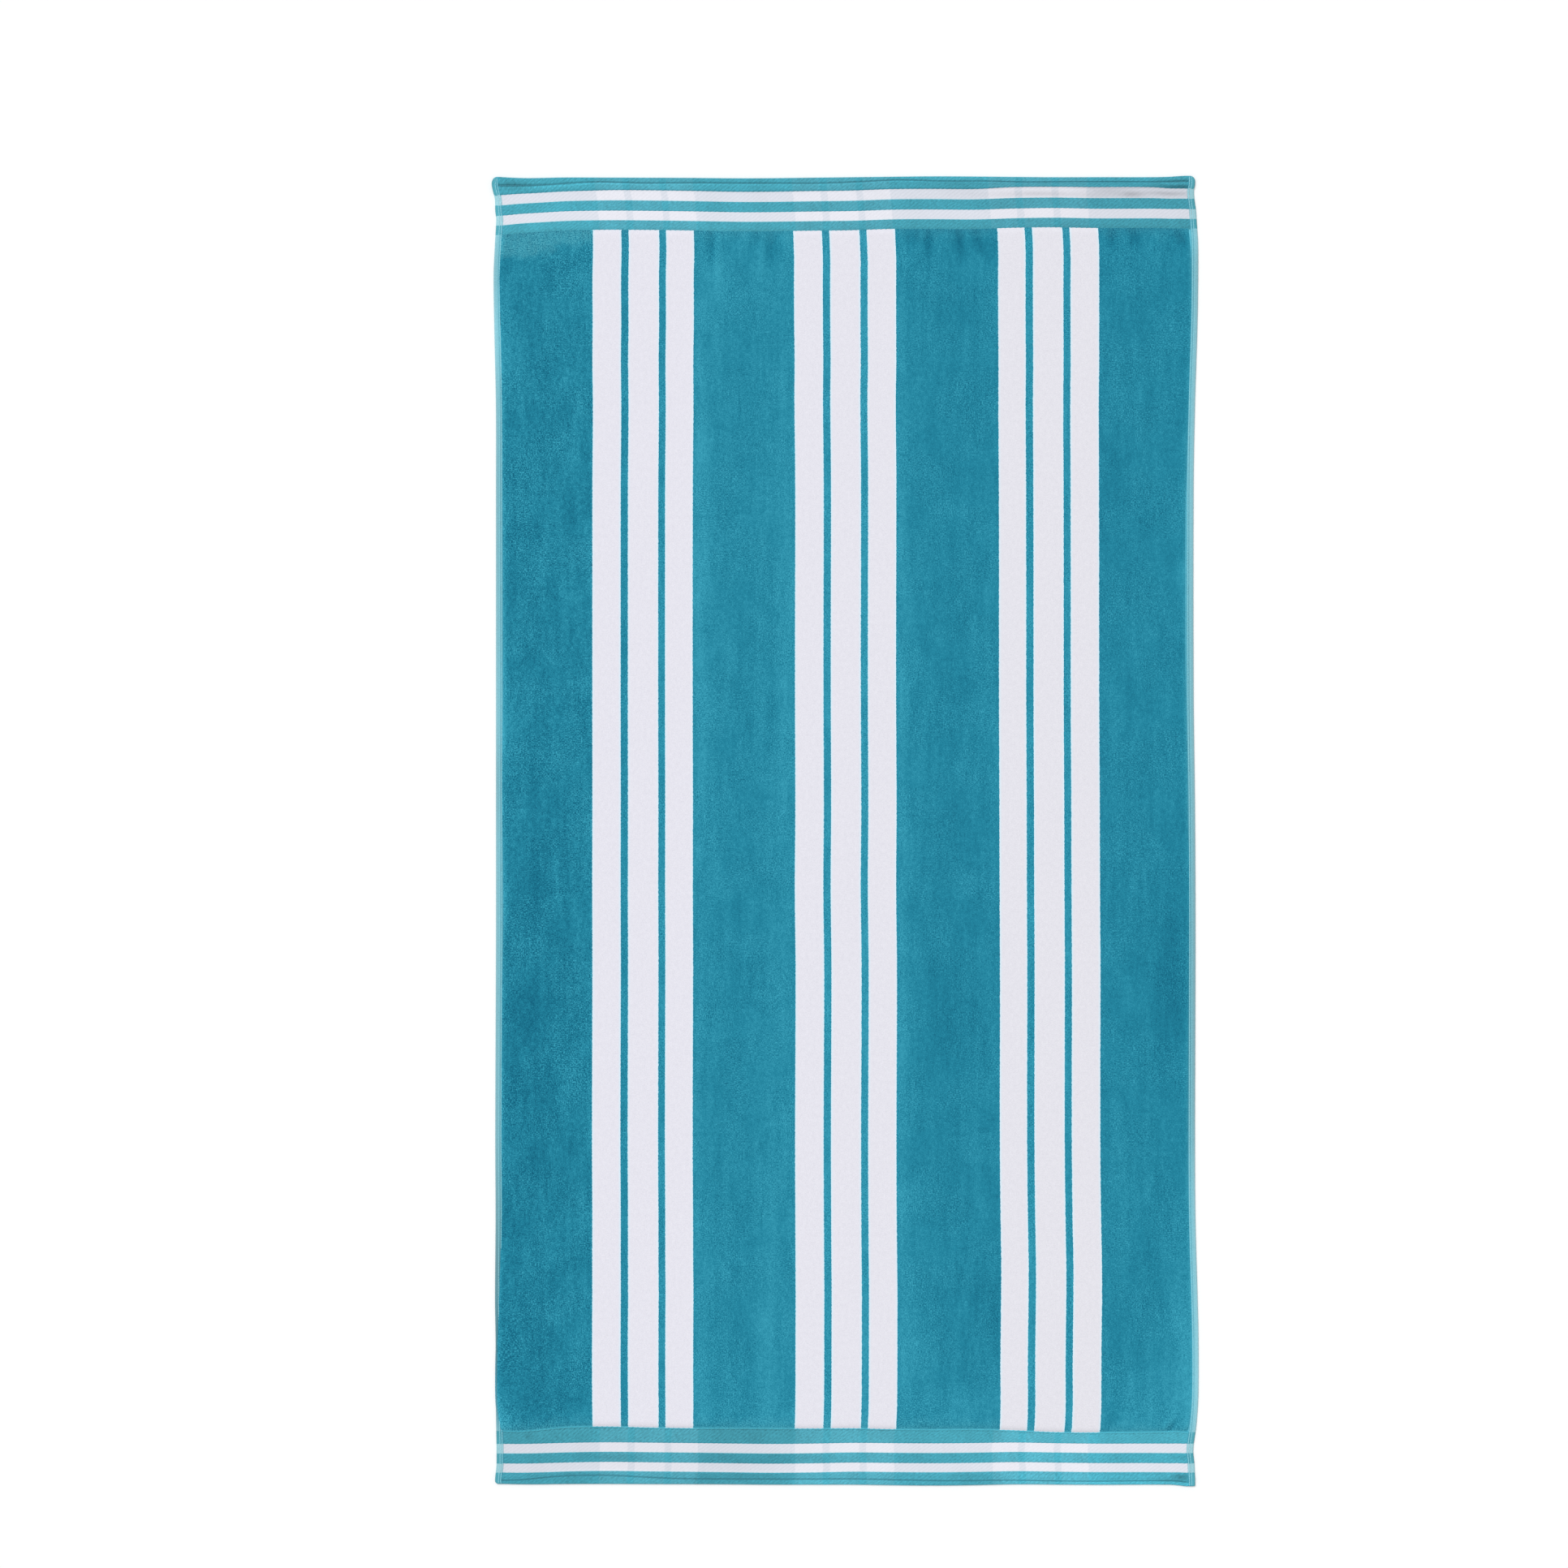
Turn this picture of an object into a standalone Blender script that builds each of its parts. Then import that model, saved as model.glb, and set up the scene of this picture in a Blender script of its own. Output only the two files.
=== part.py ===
"""A striped beach towel lying flat, face up.

One woven cloth: a velour field that stands proud of a flat-woven border at each end, a folded
end hem outside each border, and a narrow folded hem down each long side.  Metres, +Z up, the
towel's length along Y, and the origin on the floor under its middle.
"""
import math
from collections import namedtuple

import bmesh
import bpy

MM = 0.001

# the cloth between the straight lines that its edges wander about
WIDTH = 864.0 * MM
LENGTH = 1618.7 * MM

# thickness of each part of the cloth
PILE = 3.0 * MM
WEAVE = 1.4 * MM
SIDE_HEM = 2.5 * MM
HEM_CROSSING = 0.5 * MM     # what the side hem adds where it is folded over an end hem

# how far in from its edge each part begins
SIDE_HEM_WIDTH = 8.4 * MM
TOP_BORDER = 63.5 * MM      # from the top edge to the pile
BOTTOM_BORDER = 69.3 * MM
PILE_BEVEL = 2.2 * MM       # the pile's cut edge leans over this far
UNDERCUT = 0.4 * MM         # the folded edge curls in under itself
EDGE_ZONE = 8.4 * MM        # a point of the rim this near an edge's line belongs to that edge

# corner radii
TOP_LEFT, TOP_RIGHT, BOTTOM_LEFT, BOTTOM_RIGHT = 8.0 * MM, 6.0 * MM, 3.5 * MM, 1.5 * MM

# the folded edge's round: distance in from the edge and the share of the full thickness there
Round = namedtuple("Round", "inward share")
EDGE_ROUND = (Round(0.0, 0.45), Round(0.9 * MM, 0.85), Round(2.4 * MM, 1.0))

# an end hem's section, from the folded edge, through the sewn furrow, to where the border begins
Hem = namedtuple("Hem", "inward height")
TOP_HEM = (
    Hem(0.0 * MM, 3.0 * MM), Hem(3.2 * MM, 3.0 * MM), Hem(5.6 * MM, 2.0 * MM),
    Hem(8.4 * MM, 2.8 * MM), Hem(14.3 * MM, 2.5 * MM), Hem(16.0 * MM, WEAVE),
)
BOTTOM_HEM = (
    Hem(0.0 * MM, 2.9 * MM), Hem(4.6 * MM, 2.9 * MM), Hem(7.2 * MM, 1.9 * MM),
    Hem(10.0 * MM, 2.8 * MM), Hem(14.6 * MM, 2.5 * MM), Hem(16.4 * MM, WEAVE),
)

# how far the long edges stand out from their straight lines, down from the top end, in mm
Side = namedtuple("Side", "down left right")
SIDE_EDGES = (
    Side(0, 5.9, 1.5), Side(8, 5.6, 1.5), Side(17, 3.9, 0.2), Side(27, 1.4, 0.8),
    Side(42, 0.9, 2.8), Side(52, -0.3, 3.4), Side(82, 1.3, 5.3), Side(122, 3.0, 5.4),
    Side(183, 2.2, 4.5), Side(283, 0.1, 1.4), Side(384, 0.0, -0.3), Side(635, 0.0, -0.3),
    Side(786, 0.0, 1.4), Side(936, 0.0, 2.0), Side(1188, 0.9, 1.4), Side(1288, 0.5, 2.0),
    Side(1389, 2.0, 4.7), Side(1439, 1.6, 5.8), Side(1509, 0.7, 5.6), Side(1544, 0.0, 3.3),
    Side(1575, -0.7, -0.6), Side(1595, -0.6, 0.9), Side(1612, 1.1, 1.5), Side(1619, 0.8, 1.6),
)

# how far the end edges stand out from theirs, and how far the border's weft sags towards the
# bottom of the towel, across from the left edge, in mm
End = namedtuple("End", "across top bottom top_weft bottom_weft")
END_EDGES = (
    End(0, 0.6, -1.0, 8.0, 1.4), End(9, 0.3, -0.8, 7.2, 1.4), End(29, -0.8, -0.4, 4.3, 1.2),
    End(49, -1.2, -0.3, 2.7, 0.2), End(89, -0.4, -0.7, 1.2, -1.6), End(139, -0.5, -0.8, 0.1, -2.9),
    End(190, -0.7, -0.6, 0.0, -1.9), End(240, -0.9, -0.5, 0.9, -1.0), End(300, -1.4, -0.2, 1.8, -0.5),
    End(340, -1.3, 0.1, 1.8, -0.2), End(391, -0.7, 0.1, 1.3, -0.1), End(441, -0.1, 0.1, 0.8, -0.4),
    End(491, 0.5, 0.8, -1.2, 0.2), End(541, 1.0, 1.2, -0.9, 0.8), End(592, 0.8, 0.7, -0.7, 1.5),
    End(642, 0.3, -0.3, -2.6, 2.4), End(692, -0.1, 0.0, -3.4, 4.4), End(742, 0.0, 0.3, -2.5, 4.7),
    End(813, 0.0, 0.0, -2.6, 4.2), End(833, 0.5, 0.2, -1.8, 3.6), End(843, 1.2, 0.9, -1.6, 3.2),
    End(853, 1.7, 2.1, -1.5, 3.0), End(864, 1.4, 1.9, -1.5, 3.0),
)
WEFT_FADE = 110.0 * MM      # how far into the field the border's sag dies away

# soft puckers where the border gathers the field, in mm across from the left edge and down from
# the top edge: a negative height is a trough, and turn leans its length to the left going down
Pucker = namedtuple("Pucker", "across down half_width half_length turn height")
PUCKERS = (
    Pucker(60, 86, 42, 14, 0.0, 0.9),
    Pucker(272, 76, 9, 16, 0.0, -1.0),
    Pucker(299, 82, 9, 22, 0.1, 0.7),
    Pucker(327, 74, 8, 14, 0.0, -0.8),
    Pucker(344, 92, 10, 24, -0.1, -0.9),
    Pucker(372, 84, 10, 26, 0.0, 0.7),
    Pucker(512, 74, 9, 14, 0.0, -0.8),
    Pucker(536, 78, 10, 18, 0.0, -0.9),
    Pucker(556, 88, 9, 26, 0.0, 0.7),
    Pucker(576, 82, 9, 24, -0.1, -0.9),
    Pucker(602, 84, 9, 20, -0.5, -1.0),
    Pucker(640, 90, 14, 26, 0.0, 0.6),
    Pucker(764, 74, 9, 12, 0.0, -0.8),
    Pucker(788, 76, 9, 18, -0.2, -0.9),
    Pucker(815, 86, 10, 20, 0.1, 0.7),
    Pucker(846, 80, 10, 15, -0.3, -1.1),
    Pucker(20, 1520, 10, 40, 0.1, 0.6),
    Pucker(760, 1538, 12, 16, 0.2, -0.7),
    Pucker(832, 1538, 8, 16, -0.4, -0.9),
    Pucker(852, 1534, 7, 13, -0.6, -1.1),
)

# where the grid's columns lie, across from the left edge, in mm, and how many in each band: they
# are closer in the dark bands, where the field puckers
Band = namedtuple("Band", "left right columns")
BANDS = (
    Band(16, 118, 6), Band(118, 244, 5), Band(244, 367, 12), Band(367, 495, 5),
    Band(495, 619, 12), Band(619, 744, 5), Band(744, 852, 11),
)

# rows of the grid past the hems, in mm in from each end's edge
BORDER_ROWS = (22, 29, 38, 50)
FIELD_ROWS = (72, 80, 90, 102, 116, 136, 170, 214)
MIDDLE_ROWS = 18

CLOTH_COLOUR = (0.020, 0.235, 0.342, 1.0)
CLOTH_ROUGHNESS = 0.95


def clear_scene():
    for thing in list(bpy.data.objects):
        bpy.data.objects.remove(thing, do_unlink=True)


def smooth_curve(table, key, value, at):
    """A table's value at a place, on a smooth curve through its rows."""
    places = [getattr(row, key) for row in table]
    values = [getattr(row, value) for row in table]
    if at <= places[0]:
        return values[0]
    if at >= places[-1]:
        return values[-1]
    last = len(table) - 1
    i = max(n for n in range(last) if places[n] <= at)

    def slope(n):
        before, after = max(n - 1, 0), min(n + 1, last)
        return (values[after] - values[before]) / (places[after] - places[before])

    span = places[i + 1] - places[i]
    t = (at - places[i]) / span
    return (
        (2 * t ** 3 - 3 * t ** 2 + 1) * values[i]
        + (t ** 3 - 2 * t ** 2 + t) * span * slope(i)
        + (3 * t ** 2 - 2 * t ** 3) * values[i + 1]
        + (t ** 3 - t ** 2) * span * slope(i + 1)
    )


def straight_line(table, key, value, at):
    """A table's value at a place, on straight lines from row to row."""
    for low, high in zip(table, table[1:]):
        a, b = getattr(low, key), getattr(high, key)
        if at <= b:
            t = max(0.0, (at - a) / (b - a))
            return getattr(low, value) * (1 - t) + getattr(high, value) * t
    return getattr(table[-1], value)


def smooth_step(low, high, at):
    t = min(1.0, max(0.0, (at - low) / (high - low)))
    return t * t * (3 - 2 * t)


def weft_share(inward, border):
    """How much of the border's sag a row takes: none at the edge, all at the border."""
    hem = smooth_step(0.0, TOP_HEM[-1].inward, inward)
    return hem * (1 - smooth_step(border, border + WEFT_FADE, inward))


def round_corner(inward_x, inward_y, radius):
    """Bends the square corner of the grid onto an arc, and leaves the rest alone."""
    if inward_x >= radius or inward_y >= radius:
        return inward_x, inward_y
    a, b = radius - inward_x, radius - inward_y
    k = max(a, b) / math.hypot(a, b)
    return radius - a * k, radius - b * k


def cloth_place(across, down):
    """Where a point of the flat, true cloth lies on the floor."""
    right_side, lower_end = across > WIDTH / 2, down > LENGTH / 2
    inward_x = WIDTH - across if right_side else across
    inward_y = LENGTH - down if lower_end else down
    radius = {
        (False, False): TOP_LEFT, (True, False): TOP_RIGHT,
        (False, True): BOTTOM_LEFT, (True, True): BOTTOM_RIGHT,
    }[right_side, lower_end]
    inward_x, inward_y = round_corner(inward_x, inward_y, radius)
    x = WIDTH / 2 - inward_x if right_side else inward_x - WIDTH / 2
    y = inward_y - LENGTH / 2 if lower_end else LENGTH / 2 - inward_y

    edge, weft, border = (
        ("bottom", "bottom_weft", BOTTOM_BORDER) if lower_end else ("top", "top_weft", TOP_BORDER)
    )
    out = smooth_curve(END_EDGES, "across", edge, across / MM) * MM
    sag = smooth_curve(END_EDGES, "across", weft, across / MM) * MM
    fade = 1 - smooth_step(0.0, border + WEFT_FADE, inward_y)
    y += (-out if lower_end else out) * fade - sag * weft_share(inward_y, border)

    share, level = across / WIDTH, (LENGTH / 2 - y) / MM
    left = smooth_curve(SIDE_EDGES, "down", "left", level) * MM
    right = smooth_curve(SIDE_EDGES, "down", "right", level) * MM
    return x + right * share - left * (1 - share), y


def pucker_height(across, down):
    """The sum of the soft ridges and troughs at a point."""
    total = 0.0
    for p in PUCKERS:
        dx, dy = across / MM - p.across, down / MM - p.down
        along, aside = dy, dx + dy * p.turn
        far = (aside / p.half_width) ** 2 + (along / p.half_length) ** 2
        if far < 4.0:
            total += p.height * MM * (1 - far / 4.0) ** 3
    return total


def cloth_height(across, down):
    """How high the top of the cloth is over the floor."""
    inward_x = min(across, WIDTH - across)
    inward_y = min(down, LENGTH - down)
    lower_end = down > LENGTH / 2
    border, hem = (BOTTOM_BORDER, BOTTOM_HEM) if lower_end else (TOP_BORDER, TOP_HEM)

    pile_x = smooth_step(SIDE_HEM_WIDTH, SIDE_HEM_WIDTH + PILE_BEVEL, inward_x)
    pile_y = smooth_step(border, border + PILE_BEVEL, inward_y)
    pile = pile_x * pile_y
    field = WEAVE + (PILE - WEAVE) * pile + pucker_height(across, down) * pile

    end_hem = straight_line(hem, "inward", "height", inward_y)
    side_hem = SIDE_HEM if inward_x < SIDE_HEM_WIDTH else WEAVE
    height = max(field, end_hem, side_hem)
    if min(end_hem, side_hem) > WEAVE:
        height += HEM_CROSSING
    return height * min(
        straight_line(EDGE_ROUND, "inward", "share", inward_x),
        straight_line(EDGE_ROUND, "inward", "share", inward_y),
    )


def grid_columns():
    """Places across the cloth: the folded edge's round, the hem, the pile's bevel, the bands."""
    hem = [step.inward for step in EDGE_ROUND]
    hem += [0.6 * SIDE_HEM_WIDTH, SIDE_HEM_WIDTH - 0.2 * MM, SIDE_HEM_WIDTH]
    hem += [SIDE_HEM_WIDTH + 0.5 * PILE_BEVEL, SIDE_HEM_WIDTH + PILE_BEVEL]
    field = []
    for band in BANDS:
        step = (band.right - band.left) * MM / band.columns
        field += [band.left * MM + n * step for n in range(band.columns)]
    field.append(BANDS[-1].right * MM)
    return hem + field + [WIDTH - place for place in reversed(hem)]


def end_rows(hem, border):
    """Places down from one end's edge: round, hem, border, the pile's bevel, the near field."""
    rows = {step.inward for step in EDGE_ROUND} | {step.inward for step in hem}
    rows |= {place * MM for place in BORDER_ROWS + FIELD_ROWS}
    rows |= {border, border + 0.5 * PILE_BEVEL, border + PILE_BEVEL}
    return sorted(rows)


def grid_rows():
    top = end_rows(TOP_HEM, TOP_BORDER)
    bottom = [LENGTH - place for place in reversed(end_rows(BOTTOM_HEM, BOTTOM_BORDER))]
    step = (bottom[0] - top[-1]) / MIDDLE_ROWS
    return top + [top[-1] + n * step for n in range(1, MIDDLE_ROWS)] + bottom


def towel_mesh():
    columns, rows = grid_columns(), grid_rows()
    bm = bmesh.new()
    bmesh.ops.create_grid(bm, x_segments=len(columns) - 1, y_segments=len(rows) - 1, size=0.5)
    for vert in bm.verts:
        across = columns[round((vert.co.x + 0.5) * (len(columns) - 1))]
        down = rows[round((0.5 - vert.co.y) * (len(rows) - 1))]
        vert.co = (*cloth_place(across, down), cloth_height(across, down))

    # the folded edge goes down to the floor, curling in a little, and the underside closes it
    rim = [edge for edge in bm.edges if edge.is_boundary]
    wall = bmesh.ops.extrude_edge_only(bm, edges=rim)["geom"]
    foot = [item for item in wall if isinstance(item, bmesh.types.BMVert)]
    for vert in foot:
        for axis, half in ((0, WIDTH / 2), (1, LENGTH / 2)):
            if abs(vert.co[axis]) > half - EDGE_ZONE:
                vert.co[axis] -= math.copysign(UNDERCUT, vert.co[axis])
        vert.co.z = 0.0
    bmesh.ops.holes_fill(bm, edges=[edge for edge in bm.edges if edge.is_boundary], sides=0)
    bmesh.ops.recalc_face_normals(bm, faces=bm.faces)

    # the middle of the towel's box goes over the origin
    for axis in (0, 1):
        low = min(vert.co[axis] for vert in bm.verts)
        high = max(vert.co[axis] for vert in bm.verts)
        for vert in bm.verts:
            vert.co[axis] -= (low + high) / 2

    mesh = bpy.data.meshes.new("towel")
    bm.to_mesh(mesh)
    bm.free()
    mesh.shade_smooth()
    return mesh


def cloth_material():
    material = bpy.data.materials.new("cotton velour")
    material.use_nodes = True
    shader = material.node_tree.nodes["Principled BSDF"]
    shader.inputs["Base Color"].default_value = CLOTH_COLOUR
    shader.inputs["Roughness"].default_value = CLOTH_ROUGHNESS
    shader.inputs["Metallic"].default_value = 0.0
    return material


clear_scene()
towel = bpy.data.objects.new("towel", towel_mesh())
towel.data.materials.append(cloth_material())
bpy.context.scene.collection.objects.link(towel)
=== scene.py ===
import math
from functools import partial

import bmesh
import bpy
import numpy as np
from mathutils import Matrix, Vector


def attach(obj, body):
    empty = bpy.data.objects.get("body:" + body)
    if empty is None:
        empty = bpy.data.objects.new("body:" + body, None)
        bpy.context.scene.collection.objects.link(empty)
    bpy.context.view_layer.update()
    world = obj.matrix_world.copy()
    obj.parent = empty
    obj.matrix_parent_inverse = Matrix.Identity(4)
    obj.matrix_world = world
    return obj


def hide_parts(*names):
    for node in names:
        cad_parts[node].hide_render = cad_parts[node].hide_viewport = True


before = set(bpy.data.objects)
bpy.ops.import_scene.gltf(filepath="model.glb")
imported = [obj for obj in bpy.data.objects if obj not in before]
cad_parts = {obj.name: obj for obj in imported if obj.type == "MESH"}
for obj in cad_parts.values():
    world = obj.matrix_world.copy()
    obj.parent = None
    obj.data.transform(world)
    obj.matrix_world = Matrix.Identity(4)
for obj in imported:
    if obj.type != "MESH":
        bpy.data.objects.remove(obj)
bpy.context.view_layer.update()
mm = 0.001

# The towel is worked out in millimetres on the true, flat cloth: across from its left edge and
# down from its top edge. lieDown() then puts every piece where that place of the cloth lies.
towel = {
    "width": 864.0,  # between the straight lines that its edges wander about
    "length": 1618.7,
    "pile": 3.0,  # heights over the floor
    "weave": 1.4,
    "sideHem": 8.4,  # how far in from its edge each part begins
    "endHem": 16.0,
    "topBorder": 64.5,
    "bottomBorder": 69.3,
    "weftFade": 110.0,  # how far into the field the borders' sag dies away
    "edgeShare": 0.4,  # how much of its height a folded edge has at its very rim
    "curl": 0.4,  # how far its underside curls in there
    "corners": {"topLeft": 8.0, "topRight": 6.0, "bottomLeft": 3.5, "bottomRight": 1.5},
    # down; how far the left and the right edge stand out
    "sides": (
        (0, 5.9, 1.5), (8, 5.6, 1.5), (17, 3.9, 0.2), (27, 1.4, 0.8), (42, 0.9, 2.8), (52, -0.3, 3.4),
        (82, 1.3, 5.3), (122, 3.0, 5.4), (183, 2.2, 4.5), (283, 0.1, 1.4), (384, 0.0, -0.3),
        (635, 0.0, -0.3), (786, 0.0, 1.4), (936, 0.0, 2.0), (1188, 0.9, 1.4), (1288, 0.5, 2.0),
        (1389, 1.2, 4.7), (1439, 0.5, 5.8), (1509, 0.2, 5.6), (1544, -0.2, 3.3), (1575, -0.7, -0.6),
        (1595, -0.6, 0.9), (1612, 1.1, 1.5), (1619, 0.8, 1.6),
    ),
    # across; how far the top and the bottom edge stand out, and how far the weft sags near each
    "ends": (
        (0, 0.6, -1.0, 8.0, 3.4), (9, 0.3, -0.8, 7.2, 3.6), (29, -0.8, -0.4, 4.3, 3.8),
        (49, -1.2, -0.3, 2.7, 2.0), (89, -0.4, -0.7, 1.2, -1.4), (139, -0.5, -0.8, 0.3, -2.0),
        (190, -0.7, -0.6, 0.4, -0.9), (240, -0.9, -0.5, 0.9, -0.2), (300, -1.4, -0.2, 1.5, -0.3),
        (340, -1.3, 0.1, 1.5, -0.2), (391, -0.7, 0.1, 1.3, -0.1), (441, -0.1, 0.1, 1.2, -0.4),
        (491, 0.5, 0.8, 0.0, 0.2), (541, 1.0, 1.2, 0.2, 0.4), (592, 0.8, 0.7, 0.3, 0.5),
        (642, 0.3, -0.3, -1.6, 2.4), (692, -0.1, 0.0, -2.5, 4.4), (742, 0.0, 0.3, -1.6, 4.7),
        (813, 0.0, 0.0, -1.6, 4.2), (833, 0.5, 0.2, -0.8, 3.6), (843, 1.2, 0.9, -0.3, 3.2),
        (853, 1.7, 2.1, 0.3, 3.0), (864, 1.4, 1.9, 0.3, 3.0),
    ),
    # down; how far the warps at each group of white stripes stray to the right inside the field
    "warps": (
        (66, 0.1, -4.4, -5.8), (88, 1.3, -3.3, -5.2), (108, 1.8, -2.3, -4.9), (179, 1.6, -2.1, -4.3),
        (229, 0.5, -1.5, -3.1), (279, 0.4, -1.7, -2.4), (380, 0.0, 0.0, -0.6), (581, -0.1, -0.2, -0.2),
        (782, -0.3, -0.6, -1.0), (882, -0.6, -1.5, -1.2), (983, -0.2, -0.4, -0.7), (1184, 0.0, -0.4, -0.3),
        (1334, 0.0, -0.7, 0.1), (1385, 0.2, -0.9, -0.9), (1435, -0.8, -1.9, -2.5),
        (1485, -1.1, -2.2, -3.0), (1550, -0.6, -2.1, -1.6),
    ),
    # across, of the left hem, of those groups' sides and of the right hem
    "warpPlaces": (8.4, 118.4, 244.3, 369.5, 496.7, 622.4, 748.3, 855.6),
    # down; how much of the left and of the right side hem shows beside the pile
    "hemShown": (
        (64, 8.5, 12.0), (112, 6.9, 9.8), (152, 7.0, 8.7), (210, 8.2, 8.4), (290, 7.4, 8.5),
        (353, 8.2, 9.8), (400, 8.7, 11.0), (440, 9.1, 11.2), (600, 9.8, 11.2), (635, 10.2, 10.8),
        (740, 7.9, 9.7), (800, 8.2, 9.8), (840, 9.6, 8.0), (916, 10.5, 8.4), (1000, 8.6, 8.9),
        (1080, 7.8, 9.3), (1200, 7.9, 9.7), (1278, 8.2, 8.8), (1318, 6.7, 8.6), (1360, 5.4, 8.4),
        (1399, 4.0, 8.4), (1440, 2.2, 8.5), (1479, 1.2, 8.2), (1519, 1.6, 8.4), (1549, 5.5, 10.8),
    ),
}

width, length = towel["width"], towel["length"]
# where the pile begins and ends
edges = {
    "left": towel["sideHem"],
    "right": width - towel["sideHem"],
    "top": towel["topBorder"],
    "bottom": length - towel["bottomBorder"],
}

# The woven stripes. The white warps are set across, in the field; the white wefts are set down.
stripes = {
    "whiteWarps": (
        (119.5, 154.6), (163.5, 201.1), (209.5, 243.8),
        (370.6, 405.9), (414.9, 452.1), (460.8, 495.8),
        (623.3, 657.0), (666.0, 703.4), (712.1, 747.3),
    ),
    "whiteWefts": ((15.4, 28.0), (40.8, 52.7), (1566.5, 1578.3), (1590.9, 1602.1)),
    # across, in the field; how far the same warp is drawn aside in the top and the bottom border
    "gather": (
        (0.0, 9.0, 10.5), (118.4, 7.3, 8.7), (244.3, 3.6, 6.1), (369.5, -1.5, -0.7),
        (496.7, -7.2, -3.4), (622.4, -13.4, -9.5), (748.3, -16.2, -14.7), (864.0, -18.5, -18.0),
    ),
    # across; how far the top border's first white wefts sag beside the others
    "topSag": (
        (0, 0.0), (55, 0.8), (110, 0.7), (160, 0.0), (592, 0.0), (642, -1.0), (692, -0.9),
        (765, -1.4), (812, -1.1), (840, 0.2), (864, 0.0),
    ),
    # mm from the edge between which that sag sets in, and between which it dies away
    "topFade": (4.0, 12.0, 16.0, 34.0),
    "bottomFade": (8.0, 16.0, 52.0, towel["bottomBorder"]),
    # across; how far the bottom border's white wefts sag
    "bottomSag": (
        (0, 2.6), (29, 2.3), (89, 1.2), (139, 0.6), (190, 0.9), (240, 1.3), (290, 1.7), (340, 1.9),
        (391, 1.5), (441, 0.6), (491, 0.4), (541, 0.3), (642, 0.4), (692, 0.7), (742, 1.0),
        (793, 1.2), (833, 1.3), (843, 0.6), (853, -0.2), (864, -0.4),
    ),
}


def curveThrough(table, column, at):
    # a smooth curve through a table's rows, whose first column says where each row stands
    rows = np.array(table, float)
    places, values = rows[:, 0], rows[:, column]
    before = np.maximum(np.arange(len(rows)) - 1, 0)
    after = np.minimum(np.arange(len(rows)) + 1, len(rows) - 1)
    slopes = (values[after] - values[before]) / (places[after] - places[before])
    i = np.clip(np.searchsorted(places, at, side="right") - 1, 0, len(rows) - 2)
    span = places[i + 1] - places[i]
    t = np.clip((at - places[i]) / span, 0.0, 1.0)
    return (
        (2 * t**3 - 3 * t**2 + 1) * values[i]
        + (t**3 - 2 * t**2 + t) * span * slopes[i]
        + (3 * t**2 - 2 * t**3) * values[i + 1]
        + (t**3 - t**2) * span * slopes[i + 1]
    )


def smoothStep(low, high, at):
    t = np.clip((at - low) / (high - low), 0.0, 1.0)
    return t * t * (3.0 - 2.0 * t)


def roundOver(inward, radius):
    # 0 at an edge and 1 from the radius inward, along a quarter circle
    t = np.clip(1.0 - inward / radius, 0.0, 1.0)
    return np.sqrt(1.0 - t * t)


def roundedEdge(top, inward, radius):
    low = towel["edgeShare"]
    return top * (low + (1 - low) * roundOver(inward, radius))


def levelsAsGain(levels, base):
    # levels out of 255 over a base, as a gain on a linear colour
    return ((base + levels) / base) ** 2.2


def softNoise(across, down, wide, tall, seed):
    # smooth random hills about that wide and tall, from -1 to 1
    count = 512
    hills = np.random.default_rng(seed).uniform(-1.0, 1.0, (count, count))
    u, v = np.asarray(across) / wide + 40.0, np.asarray(down) / tall + 40.0
    i, j = np.floor(u).astype(int), np.floor(v).astype(int)
    s, t = smoothStep(0.0, 1.0, u - i), smoothStep(0.0, 1.0, v - j)
    i, j, nextI, nextJ = i % count, j % count, (i + 1) % count, (j + 1) % count
    upper = hills[j, i] * (1 - s) + hills[j, nextI] * s
    lower = hills[nextJ, i] * (1 - s) + hills[nextJ, nextI] * s
    return upper * (1 - t) + lower * t


def strayOfWarps(across, down):
    # the warps keep to the hems at both sides and stray with each group of stripes between them
    places = towel["warpPlaces"]
    first, second, third = [curveThrough(towel["warps"], n, down) for n in (1, 2, 3)]
    strays = [0.0, first, first, second, second, third, third, 0.0]
    total = 0.0
    for n in range(len(places) - 1):
        share = np.clip((across - places[n]) / (places[n + 1] - places[n]), 0.0, 1.0)
        total = total + (strays[n + 1] - strays[n]) * share
    return total


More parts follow.
